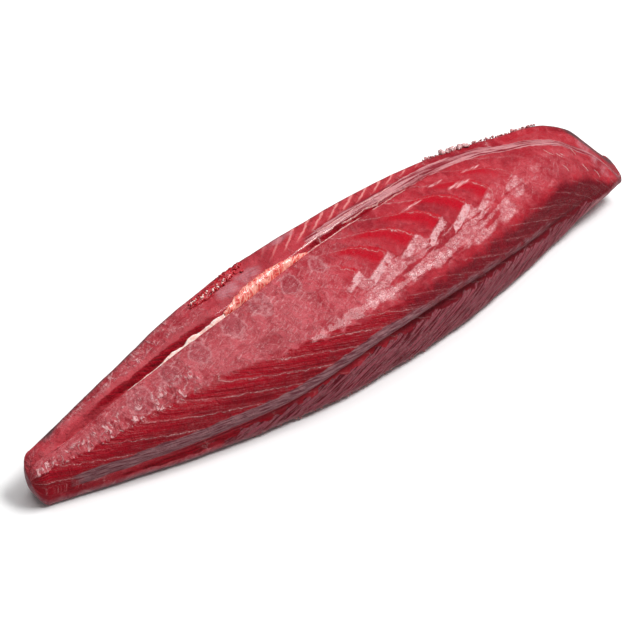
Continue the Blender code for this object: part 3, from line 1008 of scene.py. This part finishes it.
    def walls(self, add: functools.partial, read: dict, found: dict) -> dict[str, bpy.types.NodeSocket]:
        """Adds the walls of tissue: thin broken lines at each whole count, bars, zigzags and the lip."""
        wobble = add("MapRange", {0: found["mottle"], 1: 0.2, 2: 0.8, 3: -0.15, 4: 0.15})
        away = {}
        for name in ("septum", "bars"):
            count = add("Math", {0: read[name], 1: wobble}, operation="ADD")
            away[name] = add("Math", {0: count, 1: 0.5}, operation="PINGPONG")
        away["septum"] = add("Math", {0: away["septum"], 1: self.flake_length}, operation="MULTIPLY")
        away["chevron"] = add("Math", {0: read["chevron"], 1: 0.5}, operation="PINGPONG")
        past_lip = add("Math", {0: read["from_seam"], 1: 0.4}, operation="ADD")
        away["lip"] = add("Math", {0: past_lip}, operation="ABSOLUTE")
        drawn = {}
        for name, source, core, edge, strength in (
            ("line", "septum", 0.25, 1.0, 1.0), ("halo", "septum", 0.0, 5.0, 0.08),
            ("bar", "bars", 0.03, 0.16, 1.0), ("zag", "chevron", 0.01, 0.09, 0.8),
            ("lip", "lip", 0.35, 1.1, 0.8),
        ):
            limits = {0: away[source], 1: core, 2: edge, 3: strength, 4: 0.0}
            drawn[name] = add("MapRange", limits, interpolation_type="SMOOTHSTEP")
        line = add("Math", {0: drawn["line"], 1: found["faint"]}, operation="MULTIPLY")
        line = add("Math", {0: line, 1: found["broken"]}, operation="MULTIPLY")
        line = add("Math", {0: line, 1: drawn["halo"]}, operation="MAXIMUM")
        soft = add("Math", {0: found["cloud"], 1: 0.45}, operation="MULTIPLY")
        zag = add("Math", {0: soft, 1: drawn["zag"]}, operation="MAXIMUM")
        return {"line": line, "bar": drawn["bar"], "lip": drawn["lip"], "zag": zag}

    def ragged_zones(
        self, add: functools.partial, read: dict, found: dict
    ) -> dict[str, bpy.types.NodeSocket]:
        """Ends each zone in a ragged edge, where its share passes a mottled threshold."""
        ragged = dict(read)
        for name, low, high in (
            ("haze", 0.25, 0.65), ("deep", 0.25, 0.60), ("lobe", 0.15, 0.80), ("frost", 0.12, 0.85),
            ("front_low", 0.35, 0.65), ("band", 0.25, 0.75), ("mauve", 0.25, 0.70), ("wrinkle", 0.25, 0.75),
            ("shine", 0.28, 0.75), ("island", 0.20, 0.80), ("under", 0.10, 0.80), ("edge_deep", 0.25, 0.60),
            ("grey", 0.15, 0.90),
        ):
            mottled = add("Math", {0: found["mottle"], 1: 0.9, 2: read[name]}, operation="MULTIPLY_ADD")
            mottled = add("Math", {0: mottled, 1: 0.45}, operation="SUBTRACT")
            limits = {0: mottled, 1: low, 2: high}
            ragged[name] = add("MapRange", limits, interpolation_type="SMOOTHSTEP")
        return ragged

    def amounts(self, add: functools.partial, ragged: dict, found: dict) -> dict[str, bpy.types.NodeSocket]:
        """Keeps each mark to its own zone.

        Args:
            add: adds a node to the material's tree.
            ragged: the flesh's attributes, with ragged edges to the zones.
            found: the patterns and walls.

        Returns:
            How much of each mark or tone shows.
        """
        amount = {}
        known = ragged | found
        # The wrinkles' dark troughs are painted shade in their folds and their pale creases are painted
        # highlights on the ridges.
        for name, zone, mark in (
            ("haze", "haze", "haze_fade"), ("frost", "frost", "peppered"), ("trough", "wrinkle", "trough"),
            ("crease", "wrinkle", "crease"), ("bar", "bar_strength", "bar"), ("lip", "lip_strength", "lip"),
            ("block", "bar_strength", "strip"), ("line", "line_strength", "line"),
            ("hair", "front_low", "hair"), ("vein", "deep", "vein"), ("shine", "shine", "speckle"),
            ("glisten", "glisten", "thin"), ("grey", "grey", "streaky"),
        ):
            amount[name] = add("Math", {0: ragged[zone], 1: known[mark]}, operation="MULTIPLY")
        # A pale outline runs round each darker island of the membrane.
        inside = add("MapRange", {0: ragged["island"], 1: 0.05, 2: 0.45, 3: 0.0, 4: 1.0})
        outside = add("MapRange", {0: ragged["island"], 1: 0.55, 2: 0.95, 3: 1.0, 4: 0.0})
        ringed = add("Math", {0: inside, 1: outside}, operation="MULTIPLY")
        ringed = add("Math", {0: ringed, 1: found["speckle"]}, operation="MULTIPLY")
        amount["ringed"] = add("Math", {0: ringed, 1: self.ring_strength}, operation="MULTIPLY")
        island = {0: ragged["island"], 1: self.island_strength}
        amount["island"] = add("Math", island, operation="MULTIPLY")
        amount["frost"] = add("Math", {0: amount["frost"], 1: found["joined"]}, operation="MULTIPLY")
        patchy = add("MapRange", {0: found["cloud"], 1: 0.25, 2: 0.65, 3: 0.12, 4: 1.0})
        amount["crease"] = add("Math", {0: amount["crease"], 1: patchy}, operation="MULTIPLY")
        # The sparks are painted highlight specks and the glossy patches a broad painted sheen, both on the
        # membrane only.
        for name in ("wisp", "web", "brush", "smear", "spark", "glossy"):
            amount[name] = add("Math", {0: found[name], 1: amount["haze"]}, operation="MULTIPLY")
        return amount

    def colour(self, add: functools.partial, ragged: dict, found: dict, amount: dict) -> bpy.types.NodeSocket:
        """Lays every tone over the one before it, from the bare flesh up to the seam's lip.

        Args:
            add: adds a node to the material's tree.
            ragged: the flesh's attributes, with ragged edges to the zones.
            found: the patterns and walls.
            amount: how much of each mark or tone shows.

        Returns:
            The flesh's colour.
        """
        plate = {0: found["plate"], 1: 0.4, 2: found["cloud"]}
        grainy = add("Math", plate, operation="MULTIPLY_ADD", use_clamp=True)
        grainy = add("Math", {0: grainy, 1: found["speckle"]}, operation="MULTIPLY")
        two_tone = {}
        for name, blend, low, high in (
            ("body", found["body"], self.dark, self.middle),
            ("deep", found["streak"], self.deep_dark, self.deep),
            ("skin", found["zag"], self.skin, self.silver),
            ("front", found["bundled"], self.front_dark, self.front_light),
            ("frost", grainy, self.frost_dark, self.frost),
            ("block", found["fleck"], self.strip, self.light),
            ("haze", found["cloud"], self.haze_dark, self.haze),
            ("mauve", found["thread"], self.mauve_dark, self.mauve),
            ("band", found["thin"], self.band_dark, self.band),
            ("edge", found["thin"], self.deep_dark, self.deep),
        ):
            two_tone[name] = add("Mix", {0: blend, 6: linear(low), 7: linear(high)}, 2, data_type="RGBA")

        tones = (self.dark, self.light, self.wall, self.frost, self.glint)
        dark, light, wall, frost, glint = (linear(tone) for tone in tones)
        colour = two_tone["body"]
        # Painted light in this stack: the pits, the dark grit, the wrinkles' troughs and the front's dark
        # below the ridge are painted shade; the sparks, the light grit, the wrinkles' creases, the glossy
        # patches, the shine and the glistens are painted highlights or sheen, and the frost and the band are
        # partly painted sheen.
        for share, top in (
            (found["fleck"], light), (ragged["strip_pale"], light), (amount["haze"], two_tone["haze"]),
            (amount["island"], linear(self.island)), (amount["ringed"], frost), (found["shaded"], dark),
            (amount["glossy"], linear(self.frost_dark)), (amount["smear"], dark), (amount["brush"], frost),
            (amount["wisp"], wall), (amount["web"], frost), (amount["spark"], frost),
            (ragged["lobe"], linear(self.lobe)), (ragged["deep"], two_tone["deep"]),
            (ragged["edge_deep"], two_tone["edge"]), (ragged["under"], linear(self.under)),
            (found["pit"], dark), (found["dust"], light), (found["speck"], dark),
            (amount["vein"], wall), (amount["line"], wall),
            (amount["frost"], two_tone["frost"]), (amount["shine"], linear(self.shine)),
            (amount["glisten"], glint), (amount["trough"], dark), (amount["crease"], glint),
            (ragged["front_low"], two_tone["front"]), (amount["hair"], linear(self.silver)),
            (ragged["band"], two_tone["band"]), (amount["block"], two_tone["block"]),
            (amount["bar"], linear(self.bar)), (ragged["mauve"], two_tone["mauve"]),
            (amount["grey"], linear(self.grey)), (ragged["skin"], two_tone["skin"]),
            (ragged["rim"], linear(self.rim)), (amount["lip"], wall),
        ):
            colour = add("Mix", {0: share, 6: colour, 7: top}, 2, data_type="RGBA")
        return colour

    def fine_relief(
        self, add: functools.partial, read: dict, found: dict, amount: dict
    ) -> bpy.types.NodeSocket:
        """Adds the relief that is too fine for the mesh: grain, fibre, pebbles, creases and walls."""
        relief = add("Math", {0: found["crinkle"], 1: 1.15}, operation="MULTIPLY")
        pebbled = add("Math", {0: found["pebble"], 1: read["frost"]}, operation="MULTIPLY")
        for part, height in (
            (found["grit"], 0.35), (found["fibre"], 0.6), (found["mottle"], 2.0), (pebbled, -1.6),
            (amount["crease"], 1.0), (amount["line"], 0.8), (found["cloud"], 0.8),
        ):
            relief = add("Math", {0: part, 1: height, 2: relief}, operation="MULTIPLY_ADD")
        look = {"Strength": self.relief_strength, "Distance": self.relief_height * MM, "Height": relief}
        return add("Bump", look)

    def build(self) -> bpy.types.Material:
        """Makes the material.

        Returns:
            The finished material.
        """
        material, shader = blank_material(self.name)
        add = functools.partial(add_node, material.node_tree)
        read = {}
        for layer, names in ToneMap.layer_names.items():
            parts = add("SeparateXYZ", {0: add("Attribute", attribute_name=layer, out=1)}).node.outputs
            read.update(zip(names, parts))
        found = self.patterns(add, read)
        found.update(self.walls(add, read, found))
        ragged = self.ragged_zones(add, read, found)
        amount = self.amounts(add, ragged, found)
        rough = {0: ragged["deep"], 1: 0.0, 2: 1.0, 3: self.roughness, 4: self.deep_roughness}
        look = {
            "Base Color": self.colour(add, ragged, found, amount),
            "Roughness": add("MapRange", rough),
            "IOR": self.ior,
            "Specular IOR Level": self.specular,
            "Subsurface Weight": self.translucence,
            "Subsurface Radius": self.light_reach,
            "Subsurface Scale": self.light_depth * MM,
            "Coat Weight": self.film,
            "Coat Roughness": self.film_roughness,
            "Normal": self.fine_relief(add, read, found, amount),
        }
        feed(material.node_tree, shader, look)
        return material


@dataclass(frozen=True)
class TissueFinish:
    """Moist connective tissue or fat: pale, slightly see-through, with darker cells or threads in it.

    A net gives a tube's length and girth, its cells' size along and across, and their lean.
    """

    name: str
    pale: str
    dark: str
    cell: float
    roughness: float = 0.34
    depth: float = 1.0
    coat: float = 0.4
    net: tuple[float, float, float, float, float] | None = None
    ior: float = 1.42
    translucence: float = 0.30
    light_reach: tuple = (1.0, 0.45, 0.35)
    light_depth: float = 1.5
    coat_roughness: float = 0.14
    relief_strength: float = 0.6
    relief_height: float = 0.4

    def cells(self, add: functools.partial, place: bpy.types.NodeSocket) -> bpy.types.NodeSocket:
        """Adds the cells or threads, bent a little, and gives the distance from their edges."""
        warp = add("TexNoise", {"Vector": place, "Scale": 300.0, "Detail": 2.0}, out=1)
        if not self.net:
            bent = add("VectorMath", {0: warp, 1: (1.2 * MM,) * 3, 2: place}, operation="MULTIPLY_ADD")
            look = {"Vector": bent, "Scale": 1 / (self.cell * MM)}
            return add("TexVoronoi", look, feature="DISTANCE_TO_EDGE")
        length, girth, along, across, lean = self.net
        bent = add("Mapping", {0: add("UVMap", uv_map="flow"), 3: (length, girth, 1.0)})
        bent = add("VectorMath", {0: warp, 1: (2.0, 2.0, 0.0), 2: bent}, operation="MULTIPLY_ADD")
        sizes = {0: bent, 2: (0.0, 0.0, lean), 3: (along, across, 1.0)}
        bent = add("Mapping", sizes, vector_type="TEXTURE")
        return add("TexVoronoi", {"Vector": bent, "Scale": 1.0}, feature="DISTANCE_TO_EDGE")

    def build(self) -> bpy.types.Material:
        """Makes the material.

        Returns:
            The finished material.
        """
        material, shader = blank_material(self.name)
        add = functools.partial(add_node, material.node_tree)
        place = add("TexCoord", out=3)
        cells = self.cells(add, place)
        edge = add("MapRange", {0: cells, 1: 0.02, 2: 0.16}, interpolation_type="SMOOTHSTEP")
        grain = add("TexNoise", {"Vector": place, "Scale": 500.0, "Detail": 3.0})
        edge = add("Math", {0: edge, 1: grain}, operation="MULTIPLY")
        edge = add("Math", {0: edge, 1: 1.5}, operation="MULTIPLY", use_clamp=True)
        tones = {0: edge, 6: linear(self.pale), 7: linear(self.dark)}
        height = add("Math", {0: edge, 1: grain, 2: grain}, operation="MULTIPLY_ADD")
        depth = self.relief_height * MM * self.depth
        look = {
            "Base Color": add("Mix", tones, 2, data_type="RGBA"),
            "Roughness": self.roughness,
            "IOR": self.ior,
            "Subsurface Weight": self.translucence,
            "Subsurface Radius": self.light_reach,
            "Subsurface Scale": self.light_depth * MM,
            "Coat Weight": self.coat,
            "Coat Roughness": self.coat_roughness,
            "Normal": add("Bump", {"Strength": self.relief_strength, "Distance": depth, "Height": height}),
        }
        feed(material.node_tree, shader, look)
        return material


def sewn_tube(name: str, rings: np.ndarray, finish: bpy.types.Material) -> bpy.types.Object:
    """A closed piece: a flat sheet of quads wrapped round rings and sewn, its ends drawn to points.

    Args:
        name: the piece's name.
        rings: rows by places round by 3, in millimetres, going round each ring the same way.
        finish: the piece's material.

    Returns:
        The piece, linked to the scene, with one UV map that gives its row and place.
    """
    rows, places = rings.shape[:2]
    ends = [np.broadcast_to(rings[n].mean(axis=0), rings[n].shape)[None] for n in (0, -1)]
    rings = np.concatenate([ends[0], rings, ends[1]])
    rows += 2
    mesh = bmesh.new()
    mesh.loops.layers.uv.new("flow")
    bmesh.ops.create_grid(mesh, x_segments=rows - 1, y_segments=places, size=0.5, calc_uvs=True)
    for vertex in mesh.verts:
        row = round((vertex.co.x + 0.5) * (rows - 1))
        place = round((vertex.co.y + 0.5) * places) % places
        vertex.co = rings[row, place] * MM
    bmesh.ops.remove_doubles(mesh, verts=mesh.verts, dist=1e-7)
    bmesh.ops.recalc_face_normals(mesh, faces=mesh.faces)
    return finished_piece(name, mesh, finish)


def finished_piece(name: str, mesh: bmesh.types.BMesh, finish: bpy.types.Material) -> bpy.types.Object:
    """Turns a bmesh into a smooth-shaded object with its material, and frees the bmesh."""
    data = bpy.data.meshes.new(name)
    mesh.to_mesh(data)
    mesh.free()
    data.shade_smooth()
    data.materials.append(finish)
    piece = bpy.data.objects.new(name, data)
    bpy.context.scene.collection.objects.link(piece)
    return piece


@dataclass
class LoinBody:
    """The whole loin's flesh: the solid's form with its fine relief, painted with its looks."""

    surface: LoinSurface
    muscle: Muscle
    tone: ToneMap
    finish: FleshFinish = FleshFinish()

    def capped(self, table: np.ndarray) -> np.ndarray:
        """Adds rows for both rounded ends to a table of the surface, repeating its first and last rows."""
        cap = self.surface.cap_rows
        tail, head = np.repeat(table[:1], cap, axis=0), np.repeat(table[-1:], cap, axis=0)
        return np.concatenate([tail, table, head])

    def cap_points(self, ring: np.ndarray, depth: float) -> np.ndarray:
        """Rings that close an end on a quarter of an ellipse, from near its middle out to the ring."""
        centre = ring.mean(axis=0)
        rings = []
        for k in range(self.surface.cap_rows):
            turn = math.pi / 2 * (k + 0.5) / self.surface.cap_rows
            closing = centre + (ring - centre) * math.sin(turn)
            closing[:, 0] += depth * math.cos(turn)
            closing[:, 2] = np.maximum(closing[:, 2], 0.0)
            rings.append(closing)
        return np.array(rings)

    def build(self) -> bpy.types.Object:
        """Makes the piece.

        Returns:
            The finished piece.
        """
        s = self.surface
        tail = self.cap_points(s.points[0], -s.form.tail_cap_depth)
        head = self.cap_points(s.points[-1], s.form.head_cap_depth)[::-1]
        rings = np.concatenate([tail, s.points, head])
        piece = sewn_tube("loin_flesh", rings, self.finish.build())
        self.paint(piece, rings)
        return piece

    def paint(self, piece: bpy.types.Object, rings: np.ndarray) -> None:
        """Writes the looks onto the mesh, corner by corner, and a UV map in metres along and round."""
        data = piece.data
        rows, places = rings.shape[0] + 2, rings.shape[1]
        uv = np.zeros(len(data.loops) * 2, np.float32)
        data.uv_layers[0].data.foreach_get("uv", uv)
        uv = uv.reshape(-1, 2)
        row = np.clip(np.rint(uv[:, 0] * (rows - 1)).astype(int) - 1, 0, rings.shape[0] - 1)
        place = np.rint(uv[:, 1] * places).astype(int)
        for name, table in self.tone.layers().items():
            whole = self.capped(table)
            values = whole[row, place % places].astype(np.float32)
            layer = data.attributes.new(name, "FLOAT_VECTOR", "CORNER")
            layer.data.foreach_set("vector", values.ravel())
        around = np.concatenate([self.surface.round_at, self.surface.bounds[:, -1:]], axis=1)
        flow = np.stack([rings[row, place % places, 0], self.capped(around)[row, place]], 1) * MM
        data.uv_layers[0].name = "flow"
        data.uv_layers["flow"].data.foreach_set("uv", flow.astype(np.float32).ravel())


@dataclass
class SeamTissue:
    """What fills the seam: white membrane towards the tail, and a pad of soft orange fat after it."""

    surface: LoinSurface
    places: int = 18
    membrane: TissueFinish = TissueFinish("seam_membrane", "#f0dcd4", "#e2b3a8", 6.0)
    strand: TissueFinish = TissueFinish("seam_strand", "#dba29c", "#c06a6c", 3.0)
    torn: TissueFinish = TissueFinish("torn_lump", "#c01c2c", "#820614", 2.6, depth=2.5, coat=0.15)
    threads: tuple = (
        (0.45, 0.66, 0.6, 0.8), (0.455, 0.56, 5.2, 0.6), (0.50, 0.68, 8.0, 0.5), (0.54, 0.64, 3.0, 0.45),
    )
    fat: TissueFinish = TissueFinish(
        "seam_fat", "#f0a898", "#d42a28", 3.4, depth=2.0, net=(93.0, 30.0, 3.4, 11.0, 0.5)
    )
    # A row of a pad's mesh is this long, and its underside sinks this far into the seam.
    row_length: float = 1.2
    underside: float = 1.2

    def pad(
        self,
        name: str,
        run: tuple[float, float],
        wide: list[float],
        middle: list[float],
        height: float,
        finish: TissueFinish,
        bumps: float,
    ) -> bpy.types.Object:
        """A long lens of tissue that lies along the seam.

        Args:
            name: the piece's name.
            run: the shares of the length between which it lies.
            wide: its half width at places spread evenly along it.
            middle: its centre line's distance past the seam at the same places.
            height: how far it stands out at its middle.
            finish: its material.
            bumps: how uneven it is.

        Returns:
            The finished piece.
        """
        rows = int((run[1] - run[0]) * self.surface.form.length / self.row_length)
        t = np.linspace(0, 1, rows)
        knots = np.linspace(0, 1, len(wide))
        half = np.interp(t, knots, wide) * (1 + 0.25 * Ripple(31).layered(t * 100, 0 * t, 4))
        centre = np.interp(t, knots, middle) + 0.5 * Ripple(32).layered(t * 100, 0 * t, 6)
        rings = []
        for n, share in enumerate(run[0] + t * (run[1] - run[0])):
            ring = []
            for turn in np.arange(self.places) / self.places * 2 * math.pi:
                past = centre[n] + half[n] * math.cos(turn)
                lump = 1 + bumps * float(Ripple(33).layered(share * 600, past, 2.6, 2))
                out = math.sin(turn) * (height * lump if turn < math.pi else self.underside)
                ring.append(self.surface.spot(share, Line.SEAM, past, out * min(1.0, half[n] / 2))[0])
            rings.append(ring)
        return sewn_tube(name, np.array(rings), finish.build())

    def build(self) -> list[bpy.types.Object]:
        """Makes the pieces, from tail to head."""
        white = [0.5, 0.7, 0.6, 0.9, 2.4, 0.7, 3.6, 0.9, 2.2, 1.6, 0.4]
        shift = [0.6, 0.5, 0.4, 0.4, 0.3, 0.6, 0.2, 1.2, 1.0, 0.8, 0.8]
        pieces = [self.pad("seam_membrane", (0.15, 0.335), white, shift, 0.7, self.membrane, 0.2)]
        wide = [1.2, 3.0, 4.6, 5.2, 4.6, 4.4, 3.2, 2.0, 1.0]
        shift = [2.2, 3.4, 4.6, 4.9, 4.3, 4.2, 3.0, 2.0, 1.2]
        pieces.append(self.pad("seam_fat", (0.315, 0.47), wide, shift, 1.5, self.fat, 0.45))
        for n, (start, end, past, half) in enumerate(self.threads, 1):
            wide = [0.4, half, 0.7 * half, half, 0.6 * half, 0.3]
            shift = [past + 1.0, past, past + 0.6, past - 0.3, past + 0.5, past + 0.8]
            pieces.append(self.pad(f"seam_thread_{n}", (start, end), wide, shift, 0.3, self.strand, 0.3))
        wide = [1.0, 3.0, 4.6, 5.4, 5.0, 5.6, 4.4, 3.4, 1.4]
        shift = [23.0, 24.0, 25.0, 26.0, 27.0, 28.0, 29.0, 30.0, 31.0]
        pieces.append(self.pad("torn_lump", (0.285, 0.385), wide, shift, 2.2, self.torn, 0.7))
        return pieces


@dataclass
class Scraps:
    """Small torn bits along an edge: a few dozen soft uneven lumps joined into one mesh."""

    surface: LoinSurface
    name: str
    line: Line
    run: tuple[float, float]
    past: tuple[float, float]
    count: int
    size: tuple[float, float]
    finish: TissueFinish
    seed: int
    stand: float = 0.35

    def build(self) -> bpy.types.Object:
        """Makes the piece.

        Returns:
            The finished piece.
        """
        random = np.random.default_rng(self.seed)
        mesh = bmesh.new()
        for n in range(self.count):
            along = (n + random.uniform(0.1, 0.9)) / self.count
            share = self.run[0] + (self.run[1] - self.run[0]) * along
            size = random.uniform(*self.size)
            past = random.uniform(*self.past)
            stand = size * self.stand * random.uniform(0.4, 1.4)
            spot, normal = self.surface.spot(share, self.line, past, stand)
            made = bmesh.ops.create_icosphere(mesh, subdivisions=2, radius=size)
            stretch = random.uniform(0.45, 1.25, 3)
            turn = Vector(normal).to_track_quat("Z", "X")
            for vertex in made["verts"]:
                direction = vertex.co.normalized()
                rough = 1 + random.uniform(-0.28, 0.28)
                bent = Vector([direction[k] * size * stretch[k] * rough for k in range(3)])
                vertex.co = (Vector(spot) + turn @ bent) * MM
        bmesh.ops.recalc_face_normals(mesh, faces=mesh.faces)
        return finished_piece(self.name, mesh, self.finish.build())


@dataclass
class LooseThreads:
    """Fine pale threads of tissue that lie on the flesh in short bent lengths."""

    surface: LoinSurface
    count: int = 8
    radius: float = 0.15
    steps: int = 12
    sides: int = 6
    seed: int = 41
    finish: TissueFinish = TissueFinish("loose_thread", "#eed6cf", "#e2b9b2", 5.0)

    def build(self) -> bpy.types.Object:
        """Makes the piece.

        Returns:
            One joined mesh of all the threads.
        """
        random = np.random.default_rng(self.seed)
        threads = []
        for n in range(self.count):
            head = n > 0
            share = random.uniform(0.88, 0.955) if head else 0.105
            past = random.uniform(-50, -22) if head else -23.0
            angle, bend = random.uniform(-1.9, -1.1), random.uniform(-0.10, 0.10)
            length = random.uniform(4, 12)
            t = np.linspace(0, 1, self.steps)
            turn = angle + bend * t * length
            shares = share + np.cumsum(np.cos(turn)) * length / self.steps / self.surface.form.length
            pasts = past + np.cumsum(np.sin(turn)) * length / self.steps
            path = [self.surface.spot(a, Line.SEAM, b, 0.05) for a, b in zip(shares, pasts)]
            threads.append(self.thread(np.array([p for p, _ in path]), np.array([q for _, q in path])))
        made = [sewn_tube(f"loose_thread_{n}", rings, None) for n, rings in enumerate(threads)]
        mesh = bmesh.new()
        for piece in made:
            mesh.from_mesh(piece.data)
            bpy.data.objects.remove(piece)
        return finished_piece("loose_threads", mesh, self.finish.build())

    def thread(self, path: np.ndarray, normals: np.ndarray) -> np.ndarray:
        """Rings round a path, thinner towards both ends."""
        forward = np.gradient(path, axis=0)
        forward /= np.linalg.norm(forward, axis=1, keepdims=True)
        aside = np.cross(forward, normals)
        turn = np.arange(self.sides) / self.sides * 2 * math.pi
        thick = self.radius * np.sqrt(np.sin(np.linspace(0.25, math.pi - 0.25, len(path))))
        sideways = aside[:, None] * np.cos(turn)[None, :, None]
        around = sideways + normals[:, None] * np.sin(turn)[None, :, None]
        return path[:, None] + around * thick[:, None, None]


def towards(azimuth: float, elevation: float) -> Vector:
    """The direction from the loin towards a viewer or a light, from two angles in degrees."""
    a, e = math.radians(azimuth), math.radians(elevation)
    return Vector((math.sin(a) * math.cos(e), -math.cos(a) * math.cos(e), math.sin(e)))


@dataclass(frozen=True)
class Softbox:
    """One soft rectangular light: its angles in degrees, its distance and size in metres, and its watts."""

    name: str
    azimuth: float
    elevation: float
    distance: float
    size: tuple[float, float]
    watts: float

    def hang(self, target: Vector) -> None:
        """Hangs the light so that it faces the target."""
        data = bpy.data.lights.new(self.name, "AREA")
        data.shape = "RECTANGLE"
        data.size, data.size_y = self.size
        data.energy = self.watts
        lamp = bpy.data.objects.new(self.name, data)
        direction = towards(self.azimuth, self.elevation)
        lamp.location = target + direction * self.distance
        lamp.rotation_euler = direction.to_track_quat("Z", "Y").to_euler()
        bpy.context.scene.collection.objects.link(lamp)


@dataclass(frozen=True)
class Studio:
    """A pale floor, soft light from above and behind, and a long lens from the tail's front side."""

    target: tuple = (-0.0177, 0.0011, 0.028)
    azimuth: float = -38.2
    elevation: float = 40.0
    distance: float = 2.6
    lens: float = 180.44
    far_limit: float = 50.0
    floor_size: float = 8.0
    floor_grey: float = 0.92
    floor_roughness: float = 0.9
    floor_specular: float = 0.1
    room_light: float = 0.20
    lights: tuple = (
        Softbox("key_softbox", 62.0, 60.0, 3.0, (1.5, 0.9), 90.0),
        Softbox("overhead_fill", 170.0, 76.0, 3.0, (2.2, 1.6), 34.0),
    )

    def build(self) -> None:
        """Makes the floor, the room, the lights and the camera."""
        self.lay_floor()
        self.light_room()
        self.stand_camera()

    def lay_floor(self) -> None:
        """Lays the pale floor, which glossy surfaces don't reflect."""
        mesh = bmesh.new()
        bmesh.ops.create_grid(mesh, x_segments=1, y_segments=1, size=self.floor_size / 2)
        material, shader = blank_material("pale_floor")
        look = {
            "Base Color": (self.floor_grey, self.floor_grey, self.floor_grey, 1.0),
            "Roughness": self.floor_roughness,
            "Specular IOR Level": self.floor_specular,
        }
        feed(material.node_tree, shader, look)
        floor = finished_piece("floor", mesh, material)
        floor.visible_glossy = False

    def light_room(self) -> None:
        """Fills the room with faint white light and hangs the softboxes."""
        world = bpy.data.worlds.new("pale_room")
        world.use_nodes = True
        sky = world.node_tree.nodes["Background"]
        feed(world.node_tree, sky, {"Color": (1.0, 1.0, 1.0, 1.0), "Strength": self.room_light})
        bpy.context.scene.world = world
        for light in self.lights:
            light.hang(Vector(self.target))

    def stand_camera(self) -> None:
        """Stands the camera where the photograph was taken from."""
        scene = bpy.context.scene
        camera = bpy.data.objects.new("camera", bpy.data.cameras.new("camera"))
        camera.data.lens = self.lens
        camera.data.clip_end = self.far_limit
        direction = towards(self.azimuth, self.elevation)
        camera.location = Vector(self.target) + direction * self.distance
        camera.rotation_euler = direction.to_track_quat("Z", "Y").to_euler()
        scene.collection.objects.link(camera)
        scene.camera = camera
        scene.view_settings.view_transform = "Standard"


def main() -> None:
    """Builds the studio and every piece of the loin, in order."""
    logging.basicConfig(level=logging.INFO, format="%(message)s")
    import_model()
    Studio().build()
    surface, muscle = LoinSurface(LoinForm()), Muscle()
    tone = ToneMap(surface, muscle)
    Relief().apply(surface, muscle, tone)
    surface.find_normals()
    surface.settle()
    flesh = LoinBody(surface, muscle, tone).build()
    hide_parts(NODE)
    pieces = [flesh, *SeamTissue(surface).build()]
    grey = TissueFinish("torn_membrane", "#cf9c9b", "#955057", 2.4, coat=0.2)
    pale = TissueFinish("pale_membrane", "#e2b9b7", "#b47c80", 2.8, coat=0.3)
    dark_meat = TissueFinish("torn_dark_meat", "#cc303c", "#9c0c1a", 2.2, depth=1.5, coat=0.12)
    stub = TissueFinish("fin_stub", "#f9dcd6", "#eeb0a8", 3.0, coat=0.25)
    rows = [
        Scraps(
            surface, "ragged_fringe", Line.CREST, (0.72, 0.925), (-2.0, 0.8), 110, (0.6, 1.5), grey, 51, 0.9
        ),
        Scraps(
            surface, "torn_dark_meat", Line.SEAM, (0.288, 0.380), (22, 31), 40, (0.8, 1.7), dark_meat, 52, 0.9
        ),
        Scraps(surface, "fin_stubs", Line.SEAM, (0.288, 0.350), (22, 26), 20, (0.8, 1.2), stub, 53, 2.6),
        Scraps(surface, "pale_lump", Line.CREST, (0.752, 0.800), (-5.0, 0.5), 34, (1.3, 2.4), pale, 55, 0.6),
        Scraps(surface, "foot_scraps", Line.TOE, (0.28, 0.62), (-1, 4), 34, (0.5, 1.3), grey, 54, 0.3),
    ]
    pieces += [row.build() for row in rows]
    pieces.append(LooseThreads(surface).build())
    for piece in pieces:
        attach(piece, BODY)
        LOG.info("%s: %d faces", piece.name, len(piece.data.polygons))


if __name__ == "__main__":
    main()
